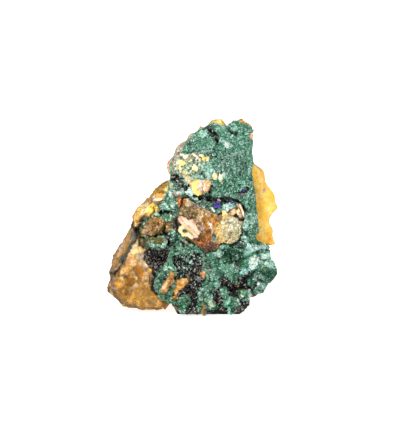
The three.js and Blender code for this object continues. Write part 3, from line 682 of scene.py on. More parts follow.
# Places of the crust: name, shape, colour, strength, share covered by green crystals, lift in mm
CRUST_PLACES = [
    ("bright shoulder", [(-4.4, 51.8), (-1.0, 54.6), (3.4, 58.0), (5.0, 57.2), (4.2, 55.2), (0.0, 52.6)],
     (96, 178, 136), 0.8, 1.0, 0.0),
    ("shoulder shade", [(5.0, 53.4), (8.0, 53.0), (9.6, 51.0), (6.4, 49.2), (3.0, 51.6)], (44, 112, 76),
     0.6, 1.0, 0.0),
    ("bright spot", (3.4, 57.0, 1.0, 1.0, 0), (196, 240, 222), 0.8, 1.0, 0.0),
    ("top light", (8.0, 60.3, 1.6, 0.6, 20), (190, 226, 212), 0.8, 1.0, 0.0),
    ("crack shade", [1.3, (5.4, 58.6), (7.6, 56.8), (8.6, 54.8)], (34, 92, 66), 0.7, 1.0, -0.2),
    ("crack", [(4.4, 58.8), (6.2, 59.4), (7.9, 58.2), (8.9, 56.4), (9.2, 54.4), (8.3, 53.6), (7.3, 55.2),
     (6.2, 56.8), (5.0, 57.8)], (10, 26, 20), 0.92, 0.1, -1.4),
    ("top dent", [0.6, (11.4, 59.4), (12.6, 58.0), (14.4, 57.3)], (20, 40, 32), 0.95, 0.2, -0.6),
    ("top mint", (13.8, 59.0, 1.6, 0.9, 0), (140, 200, 172), 0.8, 1.0, 0.1),
    ("mint light", [0.5, (10.6, 54.4), (11.8, 53.7)], (250, 255, 254), 1.0, 1.0, 0.4),
    ("second light", (10.0, 54.8, 0.9, 0.7, 0), (180, 226, 206), 0.85, 1.0, 0.1),
    ("upper greys", [(10.0, 52.0), (17.6, 52.6), (18.0, 44.4), (12.0, 43.2), (7.4, 46.6)], (112, 156, 132),
     0.55, 1.0, 0.0),
    ("emerald flank", [(7.0, 43.4), (13.6, 43.0), (14.6, 38.2), (9.6, 37.2), (7.0, 39.6)], (52, 136, 94),
     0.7, 1.0, 0.0),
    ("right rim pale", [0.7, (18.6, 56.4), (18.4, 52.0), (18.2, 46.0)], (150, 196, 172), 0.6, 1.0, 0.0),
    ("peach notch", (19.2, 56.8, 0.5, 1.1, 20), (244, 190, 146), 0.95, 0.0, 0.0),
    ("rim fleck", (-0.9, 54.6, 0.6, 0.6, 0), (74, 56, 54), 0.95, 0.0, 0.0),
    ("second rim fleck", (-4.5, 51.2, 0.7, 0.7, 0), (40, 32, 30), 0.95, 0.0, 0.0),
    ("left rim", [0.8, (-5.6, 45.4), (-5.4, 48.4), (-4.4, 51.6), (-3.0, 53.6)], (198, 178, 164), 0.8, 0.0,
     0.0),
    ("right strip", [(17.6, 44.0), (19.4, 44.0), (21.4, 26.0), (20.6, 22.8), (17.4, 24.8), (18.4, 33.6)],
     (92, 146, 116), 0.6, 1.0, 0.0),
    ("strip pale", (19.4, 30.6, 0.9, 2.6, 0), (160, 204, 182), 0.7, 1.0, 0.0),
    ("dark corner", [(-6.2, 44.6), (-4.2, 44.8), (-2.4, 44.0), (-2.2, 42.0), (0.2, 42.0), (0.2, 40.4),
     (-2.0, 38.4), (-5.4, 40.0), (-6.2, 42.0)], (64, 92, 76), 0.9, 0.5, -0.2),
    ("black pit", (-5.0, 43.5, 1.4, 1.5, 0), (12, 11, 10), 1.0, 0.0, -1.0),
    ("black nick", (-3.1, 41.1, 0.9, 0.7, 30), (16, 16, 15), 1.0, 0.0, -0.4),
    ("black cleft", [0.4, (-0.6, 42.4), (-0.8, 41.2), (-1.9, 39.6)], (16, 16, 16), 1.0, 0.0, -0.4),
    ("cream field", [(-5.4, 48.6), (-4.2, 49.8), (-3.8, 51.6), (-1.0, 51.0), (0.8, 51.4), (4.8, 50.4),
     (6.0, 49.6), (5.2, 48.4), (3.4, 47.6), (2.6, 46.2), (2.0, 44.4), (0.6, 42.8), (-2.2, 42.0),
     (-2.6, 44.4), (-4.0, 45.4), (-5.6, 46.2)], (214, 214, 174), 0.9, 0.1, 0.0),
    ("cream yellow", (-3.4, 48.1, 1.4, 1.0, -10), (240, 224, 178), 0.9, 0.0, 0.0),
    ("cream low", (-3.4, 46.6, 0.9, 1.2, 0), (250, 238, 186), 0.9, 0.0, 0.0),
    ("yellow tan", (-2.1, 45.2, 1.1, 0.6, 0), (240, 218, 160), 0.9, 0.0, 0.0),
    ("mint field", (-1.2, 46.0, 1.0, 1.2, 20), (196, 234, 204), 0.85, 0.2, 0.0),
    ("cream right", (1.1, 46.4, 1.3, 1.0, 0), (244, 234, 194), 0.9, 0.0, 0.1),
    ("green below cream", (1.2, 45.0, 1.0, 0.5, 0), (206, 206, 150), 0.9, 0.0, 0.0),
    ("green nick", (0.5, 48.8, 0.6, 0.7, -30), (50, 84, 66), 0.9, 0.5, -0.2),
    ("second nick", (-3.4, 49.9, 0.8, 0.4, 0), (66, 98, 82), 0.9, 0.5, -0.2),
    ("pale spots", (-0.2, 47.9, 0.8, 0.6, 0), (224, 240, 224), 0.85, 0.2, 0.0),
    ("mint streak", [0.5, (2.0, 48.2), (3.4, 47.2), (5.6, 47.8)], (206, 240, 224), 0.8, 0.7, 0.1),
    ("mint below", [0.8, (0.8, 44.0), (2.4, 43.6), (4.6, 45.2)], (190, 238, 218), 0.85, 0.7, 0.1),
    ("mint block", (5.3, 43.8, 1.1, 1.0, 0), (196, 236, 220), 0.9, 0.6, 0.2),
    ("mint field right", (4.6, 46.6, 2.2, 1.2, 20), (170, 224, 198), 0.7, 0.9, 0.0),
    ("mint arch", [0.35, (5.8, 45.4), (6.4, 46.0), (7.2, 45.4)], (216, 248, 236), 0.9, 0.6, 0.2),
    ("dark between", [0.5, (2.6, 44.6), (3.8, 44.8), (4.2, 43.8)], (44, 84, 64), 0.8, 0.8, -0.2),
    ("brown nick", [0.4, (8.0, 45.2), (9.2, 44.8)], (118, 92, 74), 0.9, 0.0, 0.0),
    ("pale grains", (9.3, 43.6, 0.9, 0.9, 0), (232, 240, 204), 0.9, 0.1, 0.1),
    ("second pale grains", (10.4, 44.6, 0.7, 0.6, 0), (222, 240, 212), 0.9, 0.2, 0.1),
    ("block bed", [(-0.4, 42.4), (4.2, 43.0), (5.8, 43.0), (6.0, 40.6), (5.0, 38.8), (2.0, 37.8),
     (0.0, 38.6)], (236, 196, 134), 0.95, 0.0, 0.0),
    ("mint lobe", [(-1.9, 38.5), (-0.6, 40.6), (0.7, 40.2), (1.9, 38.6), (1.4, 37.7), (-0.2, 38.0)],
     (222, 250, 240), 1.0, 0.0, 0.4),
    # Painted shadow under the yellow block and the ledge.
    ("painted shadow under the block", [0.6, (0.8, 38.0), (1.8, 37.3), (3.6, 37.4), (4.4, 38.0)], (10, 10, 10), 1.0, 0.0,
     -0.6),
    ("sliver bed", [(3.4, 37.8), (4.6, 37.8), (5.6, 36.4), (5.0, 35.8), (3.6, 36.4)], (110, 158, 130), 0.9,
     0.4, 0.1),
    ("black beside block", [0.55, (6.4, 41.2), (6.0, 39.6), (5.6, 38.2), (6.6, 37.0)], (20, 20, 18), 1.0,
     0.0, -0.6),
    ("brown left of bump", [(-6.6, 39.4), (-4.6, 39.4), (-3.4, 38.2), (-3.6, 37.2), (-5.6, 37.4),
     (-6.8, 38.2)], (126, 102, 86), 0.95, 0.0, 0.0),
    ("white specks", (-4.6, 38.9, 0.9, 0.5, 0), (226, 226, 210), 0.85, 0.1, 0.1),
    ("pale left of bump", (-3.0, 39.2, 0.9, 0.8, 0), (190, 214, 196), 0.8, 0.3, 0.0),
    ("rust left of mound", [(-5.3, 37.3), (-4.0, 37.5), (-2.6, 37.0), (-2.4, 34.6), (-3.8, 33.8),
     (-5.3, 33.8), (-4.6, 35.4)], (194, 118, 58), 1.0, 0.0, 0.0),
    ("orange left of mound", (-3.9, 36.5, 0.8, 0.7, 0), (218, 148, 66), 0.9, 0.0, 0.1),
    ("black left of mound", [0.35, (-5.8, 36.6), (-5.0, 35.6), (-4.6, 35.0)], (14, 12, 10), 1.0, 0.0, -0.3),
    ("notch", [0.6, (14.6, 38.6), (16.2, 38.9), (17.8, 39.9)], (16, 16, 16), 1.0, 0.0, -0.6),
    ("notch foot", [0.4, (15.0, 37.4), (17.0, 38.0)], (120, 112, 108), 0.9, 0.1, 0.1),
    ("brown above azurite", [0.35, (15.4, 41.6), (15.8, 40.6)], (70, 54, 44), 0.9, 0.1, -0.2),
    ("shoulder lump", [(-9.4, 38.6), (-6.4, 39.4), (-5.6, 37.0), (-4.6, 34.6), (-3.2, 33.4), (-3.6, 30.8),
     (-5.4, 31.4), (-6.4, 32.8), (-8.2, 33.6), (-10.4, 33.9), (-12.0, 36.4), (-9.8, 36.2)], (96, 170, 130),
     0.95, 0.7, 0.0),
    ("shoulder light", [0.6, (-9.0, 37.8), (-9.2, 36.0), (-7.8, 34.2)], (206, 244, 226), 0.9, 0.5, 0.2),
    ("shoulder top", (-6.8, 38.6, 0.6, 0.8, 0), (214, 246, 230), 0.9, 0.4, 0.2),
    ("shoulder right", (-5.6, 35.2, 0.8, 0.8, 0), (190, 232, 208), 0.85, 0.5, 0.2),
    ("shoulder dark", [(-8.2, 38.2), (-6.8, 38.0), (-6.4, 36.0), (-7.4, 35.6), (-8.0, 36.6)], (52, 130, 86),
     0.9, 0.8, 0.0),
    ("shoulder green foot", (-5.0, 33.2, 1.3, 1.1, -30), (48, 118, 78), 0.85, 0.8, 0.0),
    ("shoulder pit", (-8.6, 36.1, 0.45, 0.5, 0), (10, 14, 12), 1.0, 0.0, -0.5),
    ("shoulder left", [0.9, (-11.6, 36.0), (-10.2, 34.8), (-8.8, 34.4)], (136, 188, 164), 0.85, 0.6, 0.0),
    ("yellow of the crown", [(-12.6, 35.2), (-11.0, 34.4), (-10.7, 33.2), (-11.6, 31.8), (-13.4, 31.2)],
     (242, 200, 90), 0.95, 0.0, 0.2),
    ("shoulder line", [0.3, (-12.4, 36.0), (-10.8, 34.6)], (76, 74, 64), 0.9, 0.0, -0.2),
    ("black under shoulder", [0.75, (-10.4, 33.3), (-9.4, 32.7), (-7.8, 32.8), (-6.6, 32.4)], (12, 12, 12),
     1.0, 0.0, -0.9),
    ("black beside box", [0.35, (-9.5, 32.4), (-9.6, 31.0)], (24, 22, 20), 1.0, 0.0, -0.4),
    ("mint left", (-11.2, 31.8, 0.9, 0.7, 20), (178, 222, 198), 0.9, 0.6, 0.1),
    ("box lump", [(-9.2, 30.6), (-8.8, 32.2), (-7.2, 32.4), (-6.6, 31.4), (-7.0, 29.8), (-8.2, 29.9)],
     (90, 142, 108), 0.95, 0.3, 0.1),
    ("olive edge of knob", [(-8.6, 29.6), (-7.4, 29.8), (-6.2, 29.8), (-5.8, 31.2), (-5.4, 30.6),
     (-6.2, 28.4), (-6.4, 26.9), (-8.0, 26.4), (-9.0, 26.6), (-8.4, 27.8)], (128, 106, 64), 0.97, 0.0, 0.1),
    ("tan in olive", (-7.4, 27.6, 0.6, 0.9, 10), (166, 136, 82), 0.85, 0.0, 0.1),
    ("grey seam", [(-6.2, 30.4), (-5.2, 31.0), (-4.2, 30.4), (-3.4, 28.4), (-4.0, 25.8), (-5.4, 26.2),
     (-6.2, 27.2)], (84, 74, 72), 0.97, 0.0, -0.1),
    ("box light", [0.3, (-6.9, 32.4), (-6.6, 31.2), (-7.4, 29.9)], (190, 218, 176), 0.9, 0.2, 0.1),
    ("dark middle", [(1.4, 36.8), (3.4, 37.4), (5.6, 37.0), (7.2, 36.0), (7.8, 34.8), (6.8, 33.6),
     (5.0, 33.2), (3.2, 33.6), (2.2, 35.2)], (100, 134, 112), 0.95, 0.8, 0.5),
    # Pale green behind the ledge: painted light that offsets the ledge's shadow.
    ("painted light behind the ledge", [0.5, (1.4, 36.9), (3.2, 36.9), (4.8, 36.4)], (200, 224, 206), 0.9, 0.6,
     0.8),
    ("dark hole of the mound", (-8.6, 36.1, 0.4, 0.45, 0), (10, 10, 10), 1.0, 0.0, -0.7),
    ("black beside the shoulder", (-9.9, 32.6, 1.0, 0.8, -20), (12, 12, 11), 1.0, 0.0, -0.6),
    ("mint in the middle", [0.45, (4.0, 37.2), (4.6, 36.2), (5.6, 35.8)], (190, 226, 206), 0.9, 0.3, 0.1),
    # Painted shadow under the ledge.
    ("painted shadow under the ledge", [0.4, (5.2, 37.2), (6.6, 36.8)], (14, 14, 13), 1.0, 0.0, -0.4),
    ("mint patch", [(9.6, 34.6), (10.8, 35.4), (12.4, 36.2), (13.8, 35.6), (14.2, 34.2), (12.6, 32.9),
     (11.2, 32.7), (10.2, 33.6)], (214, 250, 238), 1.0, 0.35, 0.2),
    ("under azurite", (8.5, 34.2, 1.0, 0.7, 0), (24, 28, 26), 0.95, 0.2, -0.3),
    ("pale green knob", (9.2, 33.0, 0.9, 0.9, 0), (176, 210, 186), 0.9, 0.5, 0.0),
    ("mint right", (17.3, 28.8, 0.9, 1.6, 0), (208, 242, 228), 0.85, 0.6, 0.1),
    ("dark right", (17.6, 26.2, 0.6, 0.8, 0), (40, 66, 54), 0.9, 0.5, -0.2),
    ("cyan right", (16.2, 24.8, 0.8, 0.5, 0), (186, 228, 236), 0.85, 0.4, 0.1),
    ("mint low right", (17.0, 24.4, 1.3, 0.8, -30), (196, 238, 226), 0.85, 0.6, 0.1),
    ("gap of crust", (7.4, 22.8, 0.9, 0.9, 0), (170, 208, 182), 0.9, 0.7, 0.0),
    ("pocket rim", (-15.8, 23.2, 2.3, 2.6, 0), (72, 66, 42), 0.95, 0.0, 0.0),
    ("pocket arc", [0.4, (-16.9, 25.1), (-15.6, 24.9), (-14.2, 23.9)], (16, 14, 12), 1.0, 0.0, -0.5),
    ("pocket mint", [0.3, (-15.2, 25.4), (-14.2, 24.6)], (150, 190, 160), 0.9, 0.0, 0.2),
    ("pocket speck", (-14.8, 23.8, 0.35, 0.35, 0), (226, 236, 222), 0.9, 0.0, 0.1),
    ("shelf", [(-14.4, 25.4), (-11.0, 25.5), (-8.8, 25.0), (-7.7, 23.8), (-7.9, 22.2), (-9.4, 21.0),
     (-13.4, 21.2), (-14.3, 22.6)], (74, 90, 62), 0.95, 0.2, 0.1),
    ("shelf green", [0.6, (-13.6, 21.8), (-11.6, 21.6), (-9.8, 21.2)], (92, 150, 120), 0.85, 0.4, 0.1),
    ("shelf light", [0.4, (-13.0, 22.2), (-11.4, 22.3), (-9.4, 21.9), (-8.2, 22.8), (-8.4, 23.8),
     (-9.2, 24.7), (-10.6, 25.0)], (158, 194, 168), 0.9, 0.2, 0.3),
    ("shelf heart", (-9.9, 23.6, 1.2, 0.8, 10), (108, 98, 46), 1.0, 0.0, -0.3),
    ("shelf olive", [0.5, (-13.6, 24.6), (-12.2, 24.2), (-11.8, 23.2)], (104, 104, 66), 0.85, 0.0, 0.0),
    ("shelf dark seam", [0.3, (-14.2, 25.8), (-12.6, 25.6), (-10.6, 25.7)], (34, 34, 26), 0.9, 0.0, -0.2),
    ("shelf left", (-13.0, 23.9, 1.3, 1.2, 0), (122, 132, 88), 0.8, 0.2, 0.0),
    ("knob rim left", [0.5, (-15.2, 30.8), (-15.4, 29.0)], (150, 186, 166), 0.9, 0.3, 0.1),
    ("knob rim olive", [0.8, (-16.4, 28.6), (-16.2, 26.4), (-15.8, 25.4)], (118, 126, 88), 0.9, 0.1, 0.0),
    ("knob rim top", [0.7, (-14.6, 31.2), (-12.4, 31.4)], (126, 116, 92), 0.85, 0.1, 0.0),
    ("black above shelf", [(-10.0, 25.5), (-8.6, 26.5), (-7.4, 26.5), (-6.9, 25.0), (-7.2, 22.4),
     (-6.2, 21.6), (-5.2, 22.4), (-5.4, 20.9), (-6.8, 21.0), (-7.4, 21.4), (-7.6, 23.8), (-8.4, 25.0)],
     (12, 10, 9), 1.0, 0.0, -0.9),
    ("brown above shelf", (-8.4, 25.6, 0.6, 0.35, 0), (66, 46, 24), 0.9, 0.0, 0.0),
    ("speck above shelf", (-8.0, 26.0, 0.25, 0.2, 0), (200, 220, 200), 0.9, 0.0, 0.1),
    ("dark lump", [(-7.0, 25.6), (-6.4, 26.8), (-5.2, 26.7), (-4.2, 25.2), (-4.0, 23.6), (-5.2, 22.7),
     (-6.4, 23.2), (-7.0, 24.4)], (34, 98, 68), 1.0, 0.8, 0.4),
    ("dark lump light", (-6.0, 26.3, 0.6, 0.5, 0), (164, 220, 192), 0.9, 0.1, 0.2),
    ("dark lump pale side", [0.3, (-4.6, 25.6), (-4.2, 24.2)], (110, 176, 142), 0.8, 0.1, 0.0),
    ("dark lump shade", (-5.7, 23.4, 0.9, 0.6, 0), (22, 62, 42), 0.9, 0.2, 0.0),
    ("black right of the shelf", [0.75, (-8.0, 25.6), (-7.3, 24.4), (-6.9, 22.4), (-5.8, 20.8)], (8, 8, 8),
     1.0, 0.0, -0.9),
    ("net crystals", [(-5.0, 22.4), (-3.4, 24.2), (-1.2, 23.2), (0.6, 22.6), (1.0, 20.6), (-1.2, 18.6),
     (-3.6, 18.8), (-5.0, 20.4)], (140, 184, 156), 0.85, 0.5, 0.0),
    ("net shade", [0.3, (-2.0, 22.4), (-0.8, 21.2), (0.6, 20.8)], (26, 34, 28), 0.9, 0.1, -0.3),
    ("net gap", [0.5, (-4.0, 24.2), (-3.2, 23.0), (-2.6, 21.8)], (12, 12, 12), 1.0, 0.0, -0.5),
    ("black below flake", [0.5, (-0.4, 23.9), (0.8, 23.2), (1.8, 22.6)], (12, 11, 10), 1.0, 0.0, -0.5),
    ("brown drop", (-1.8, 23.7, 0.7, 0.5, 0), (168, 142, 96), 0.95, 0.0, 0.2),
    ("black field", [(-5.6, 18.8), (-3.4, 18.0), (-0.8, 18.8), (1.4, 20.4), (3.3, 19.4), (3.5, 15.4),
     (3.0, 13.2), (4.6, 11.4), (3.6, 9.6), (2.4, 7.0), (1.6, 2.0), (2.6, -0.5), (-5.4, -0.5), (-5.0, 3.8),
     (-5.2, 14.4)], OXIDE, 1.0, 0.11, 0.0),
    ("specks in the black", [(-5.0, 19.2), (-3.0, 19.4), (-0.6, 19.0), (1.2, 18.0), (0.6, 15.6),
     (-0.6, 13.4), (-2.2, 12.0), (-4.8, 12.2), (-5.0, 14.6)], OXIDE, 1.0, 0.28, 0.0),
    ("black column", [0.85, (-5.4, 18.6), (-5.5, 15.6)], (5, 5, 5), 1.0, 0.0, -1.2),
    ("cavity rim", [(-13.2, 20.9), (-9.6, 20.6), (-7.2, 21.6), (-6.6, 20.6), (-7.0, 19.2), (-7.9, 17.4),
     (-9.0, 15.6), (-10.4, 14.8), (-12.2, 13.4), (-13.6, 15.6), (-14.4, 18.0)], (24, 20, 19), 1.0, 0.0,
     -0.4),
    # Painted shadow of the shelf, laid over the set-in crust.
    ("painted shadow of the shelf on the crust", [0.5, (-13.4, 20.8), (-11.4, 20.5), (-9.2, 20.6), (-7.8, 21.2)], (14, 12, 11),
     1.0, 0.0, -0.7),
    ("dark left of the cavity", (-14.0, 19.8, 1.2, 1.6, 0), (36, 28, 22), 1.0, 0.0, -0.2),
    ("black below the cavity", [0.6, (-10.6, 15.0), (-11.4, 12.8), (-12.0, 11.2)], (30, 26, 24), 1.0, 0.0,
     -0.4),
    ("left edge shade", [0.45, (-12.0, 14.4), (-12.1, 11.0), (-12.2, 8.2), (-11.4, 6.4)], (26, 22, 20), 1.0,
     0.0, -0.3),
    ("rib", [0.65, (-6.4, 21.0), (-6.2, 19.6), (-7.2, 17.6), (-8.4, 15.2)], (126, 176, 142), 1.0, 0.55,
     0.3),
    ("rib foot", [(-9.6, 14.6), (-7.4, 14.6), (-7.6, 13.0), (-9.4, 11.6), (-10.4, 10.4), (-11.0, 8.0),
     (-11.8, 8.2), (-11.8, 11.0), (-10.6, 13.4)], (96, 152, 118), 0.9, 0.7, 0.1),
    ("rib low", [0.7, (-11.2, 8.6), (-10.4, 5.6), (-8.2, 5.4)], (110, 162, 130), 0.85, 0.8, 0.1),
    ("ledge", [0.32, (-8.2, 15.0), (-5.1, 14.9)], (150, 204, 172), 1.0, 0.1, 0.4),
    ("ledge shade", [0.18, (-7.4, 14.5), (-5.2, 14.5)], (40, 80, 60), 0.9, 0.0, -0.2),
    ("white spot", (-8.1, 14.8, 0.26, 0.26, 0), (240, 252, 246), 1.0, 0.0, 0.1),
    ("ledge below", [0.35, (-7.0, 14.1), (-5.1, 14.1)], (176, 220, 194), 0.9, 0.3, 0.1),
    ("black beside drop", [(-9.8, 10.6), (-8.6, 12.5), (-7.2, 12.6), (-7.4, 11.2), (-8.4, 10.2),
     (-9.6, 9.8)], (18, 17, 16), 1.0, 0.1, -0.4),
    ("black below drop", [0.4, (-8.3, 6.8), (-7.2, 5.9), (-5.9, 6.0)], (8, 8, 7), 1.0, 0.0, -0.6),
    ("black right of drop", [0.35, (-5.6, 12.0), (-5.6, 10.2), (-6.2, 8.8), (-7.6, 7.2)], (16, 15, 14), 1.0,
     0.0, -0.4),
    ("green between drops", [0.6, (-5.4, 10.0), (-5.9, 8.4), (-7.0, 6.8)], (130, 172, 146), 0.9, 0.7, 0.0),
    ("long drop", [(-7.0, 13.5), (-5.4, 13.7), (-5.7, 12.2), (-5.9, 10.2), (-6.4, 9.2), (-7.8, 7.6),
     (-8.8, 6.6), (-9.8, 7.4), (-10.4, 8.6), (-9.6, 9.6), (-8.4, 10.3), (-7.5, 11.4)], (184, 136, 74), 1.0,
     0.0, 0.6),
    # Painted highlight along the crest of the long drop.
    ("painted highlight of the long drop ridge", [0.35, (-7.6, 11.2), (-7.9, 10.0), (-9.2, 8.8)], (226, 188, 142), 0.9, 0.0, 0.2),
    ("long drop shade", [0.3, (-7.2, 12.8), (-6.4, 11.4), (-7.0, 9.6)], (128, 88, 40), 0.8, 0.0, -0.1),
    ("long drop light", (-9.0, 8.7, 0.6, 0.5, 20), (250, 226, 192), 0.9, 0.0, 0.1),
    ("long drop heel", (-8.9, 7.3, 0.9, 0.6, 20), (172, 112, 36), 0.9, 0.0, 0.0),
    ("short drop", [(-1.4, 12.8), (-0.9, 12.2), (-1.0, 10.4), (-1.8, 9.5), (-3.2, 8.6), (-4.5, 7.0),
     (-4.9, 6.4), (-4.5, 5.2), (-5.2, 4.4), (-6.2, 5.2), (-5.4, 6.6), (-5.8, 7.8), (-4.8, 8.8),
     (-4.7, 10.8), (-4.2, 11.2), (-2.8, 11.8), (-1.6, 11.4)], (218, 164, 88), 1.0, 0.0, 0.5),
    ("short drop shade", [0.3, (-4.4, 9.8), (-3.0, 9.6), (-2.0, 10.2)], (168, 116, 50), 0.8, 0.0, -0.1),
    ("short drop light", (-2.3, 10.9, 1.0, 0.5, 20), (246, 208, 144), 0.85, 0.0, 0.1),
    ("short drop heel", [(-6.5, 4.6), (-5.8, 5.9), (-5.0, 5.4), (-4.8, 4.4), (-5.8, 4.0)], (120, 82, 28),
     0.95, 0.0, 0.0),
    ("middle drop", [(3.3, 14.3), (3.9, 14.8), (4.5, 14.0), (4.9, 13.2), (4.6, 11.8), (4.2, 11.3),
     (3.4, 11.9), (2.6, 12.8), (2.8, 13.6)], (192, 142, 92), 1.0, 0.0, 0.5),
    ("middle drop light", (3.7, 13.9, 0.5, 0.5, 0), (252, 198, 142), 0.8, 0.0, 0.1),
    ("grey ring", (5.6, 15.1, 0.9, 1.1, 0), (136, 128, 124), 0.8, 0.2, 0.0),
    ("pale rag", (2.2, 11.2, 0.9, 0.7, 0), (166, 180, 170), 0.8, 0.6, 0.1),
    ("left ball", [(-3.4, 6.2), (-1.2, 6.0), (-0.3, 4.8), (-0.6, 3.0), (-1.4, 1.8), (-2.6, 1.2),
     (-4.0, 1.4), (-4.7, 2.6), (-4.5, 4.2)], (108, 168, 132), 1.0, 0.6, 0.2),
    ("black foot", [0.9, (-5.2, 2.4), (-4.4, 0.2), (-1.6, 0.2), (1.6, 0.2)], (26, 22, 20), 1.0, 0.0, -0.2),
    ("left ball dark", (-3.0, 2.4, 1.2, 0.9, 0), (64, 128, 92), 0.7, 0.7, 0.0),
    ("left ball gap", [(-2.8, 4.4), (-1.8, 4.6), (-1.2, 4.2), (-1.6, 3.7), (-2.4, 3.8)], (10, 10, 10), 1.0,
     0.0, -0.6),
    ("foot beside ball", [0.5, (-6.2, 3.2), (-5.4, 1.6), (-4.6, 0.6)], (20, 18, 16), 1.0, 0.0, -0.3),
    ("column", [(4.2, 9.8), (6.2, 9.6), (7.6, 8.6), (7.2, 7.0), (7.0, 5.8), (6.0, 5.2), (5.0, 4.8),
     (4.2, 5.4), (3.2, 3.4), (3.0, 1.2), (2.2, 0.8), (1.6, 2.4), (2.4, 4.8), (2.8, 7.6)], (106, 162, 130),
     1.0, 0.85, 0.0),
    ("column shade", (6.4, 7.8, 0.9, 1.6, -20), (52, 116, 82), 0.8, 0.9, 0.0),
    ("tan streak", [(3.9, 4.7), (4.5, 3.4), (4.3, 0.0), (2.4, 0.0), (3.4, 1.8), (3.5, 3.6)], (160, 114, 54),
     1.0, 0.0, 0.1),
    ("pale ball", [(5.4, 3.4), (5.9, 4.6), (7.2, 5.4), (8.4, 4.8), (7.8, 3.4), (6.9, 2.2), (6.2, 1.9),
     (5.8, 2.6)], (190, 216, 184), 1.0, 0.25, 0.3),
    ("pale ball heart", (7.0, 4.1, 0.6, 0.4, 30), (220, 200, 116), 0.9, 0.0, 0.1),
    ("low black", [(4.7, 3.6), (5.4, 2.8), (5.8, 1.2), (8.2, 1.9), (9.0, 3.6), (8.4, 5.4), (7.6, 6.6),
     (9.2, 7.2), (10.4, 5.6), (10.4, 2.4), (11.6, 1.6), (12.4, -0.5), (4.4, -0.5)], OXIDE, 1.0, 0.0, -0.6),
    ("upright black", [1.5, (8.7, 3.8), (8.8, 5.4), (8.5, 7.0)], OXIDE, 1.0, 0.0, -0.5),
    ("tall lump", [(9.5, 8.8), (10.5, 8.6), (10.9, 6.6), (10.5, 5.5), (9.4, 5.8), (9.1, 7.2)],
     (132, 186, 158), 1.0, 0.4, 0.4),
    ("tall lump gap", [0.5, (9.0, 8.8), (8.8, 7.4)], (20, 24, 22), 0.9, 0.0, -0.3),
    ("small lumps", [(11.0, 8.4), (13.0, 8.6), (13.4, 6.8), (12.6, 5.6), (11.2, 5.6), (10.9, 7.0)],
     (82, 138, 106), 0.9, 0.7, 0.1),
    ("gaps of small lumps", [0.45, (12.0, 8.0), (12.2, 6.6), (12.9, 5.7)], (14, 16, 14), 0.95, 0.0, -0.4),
    ("first channel", [1.5, (10.4, 10.4), (12.2, 9.6), (13.8, 8.4), (14.4, 7.0), (15.2, 5.2), (16.8, 3.8),
     (18.4, 2.8)], (20, 17, 16), 1.0, 0.0, -0.6),
    ("channel top", (10.9, 11.0, 1.1, 0.9, 0), (26, 22, 20), 1.0, 0.05, -0.4),
    ("channel fork", [1.0, (15.4, 11.2), (15.6, 9.6), (16.0, 8.8)], (16, 16, 15), 1.0, 0.0, -0.5),
    ("second channel", [1.1, (14.6, 8.7), (16.4, 8.8), (18.0, 7.9), (19.4, 7.0)], (12, 11, 10), 1.0, 0.0,
     -0.6),
    ("third channel", [0.85, (17.9, 12.8), (17.1, 11.2), (16.6, 10.0)], (16, 18, 16), 1.0, 0.0, -0.5),
    ("low right black", [(15.6, 3.8), (17.6, 4.4), (19.6, 5.0), (19.2, 2.0), (15.0, 1.0), (12.6, 0.6),
     (12.8, 2.0), (14.6, 2.4)], (26, 21, 20), 1.0, 0.04, -0.3),
    ("purple specks", (15.4, 1.9, 1.4, 0.6, 10), (92, 74, 78), 0.7, 0.05, 0.0),
    ("tan chip bed", [0.3, (14.6, 8.9), (15.4, 9.2)], (176, 128, 96), 0.9, 0.0, 0.1),
    ("lower ball", [(10.6, 4.4), (11.2, 5.1), (12.1, 4.9), (12.4, 4.0), (12.2, 2.8), (11.4, 2.4),
     (10.7, 3.2)], (104, 164, 130), 1.0, 0.35, 0.4),
    ("lower ball light", (11.6, 4.0, 0.5, 1.2, -20), (206, 244, 226), 0.8, 0.4, 0.1),
    ("second ball", [(12.9, 4.2), (13.6, 5.1), (14.8, 5.1), (15.6, 3.8), (15.9, 2.8), (14.8, 2.3),
     (13.4, 3.0)], (118, 170, 138), 1.0, 0.4, 0.3),
    ("second ball light", [0.25, (14.0, 5.0), (15.0, 4.4), (15.6, 3.2)], (204, 232, 212), 0.9, 0.2, 0.1),
    ("small foot", (12.0, 1.0, 0.7, 0.9, 0), (150, 214, 182), 1.0, 0.3, 0.3),
    ("diamond", [(14.9, 7.6), (15.8, 8.2), (17.5, 7.1), (16.8, 6.0), (16.2, 5.4), (15.4, 6.0)],
     (96, 160, 116), 1.0, 0.0, 0.4),
    ("diamond edge", [0.2, (15.4, 7.9), (17.2, 7.2)], (160, 206, 160), 0.9, 0.0, 0.0),
    ("diamond light", (16.2, 6.1, 0.45, 0.45, 0), (206, 244, 226), 1.0, 0.0, 0.1),
    ("green below chip", (13.4, 10.2, 1.1, 0.9, -30), (76, 124, 88), 0.8, 0.8, 0.1),
    ("pale right foot", [0.7, (18.3, 7.2), (19.2, 6.0), (18.8, 5.2)], (196, 220, 208), 0.95, 0.5, 0.1),
    ("green right foot", (17.2, 4.6, 0.9, 0.5, 30), (130, 184, 154), 0.9, 0.6, 0.1),
    ("dark east", [(18.4, 13.6), (21.6, 14.4), (26.8, 14.6), (26.6, 11.8), (23.0, 7.4), (19.4, 7.6),
     (18.2, 10.6)], (38, 104, 74), 0.75, 1.0, 0.0),
    ("east bank pale", [0.6, (24.6, 10.4), (23.4, 8.6), (21.4, 7.6)], (150, 200, 176), 0.7, 0.9, 0.1),
    ("east gaps", [0.35, (20.4, 9.6), (21.0, 8.6), (19.2, 8.2)], (14, 20, 17), 0.95, 0.0, -0.4),
    ("white pocket", (21.5, 9.6, 0.6, 0.4, 0), (238, 240, 236), 1.0, 0.1, 0.2),
    ("brown pocket", [0.35, (20.6, 10.2), (21.8, 11.0), (22.6, 10.6)], (70, 52, 44), 0.95, 0.0, -0.2),
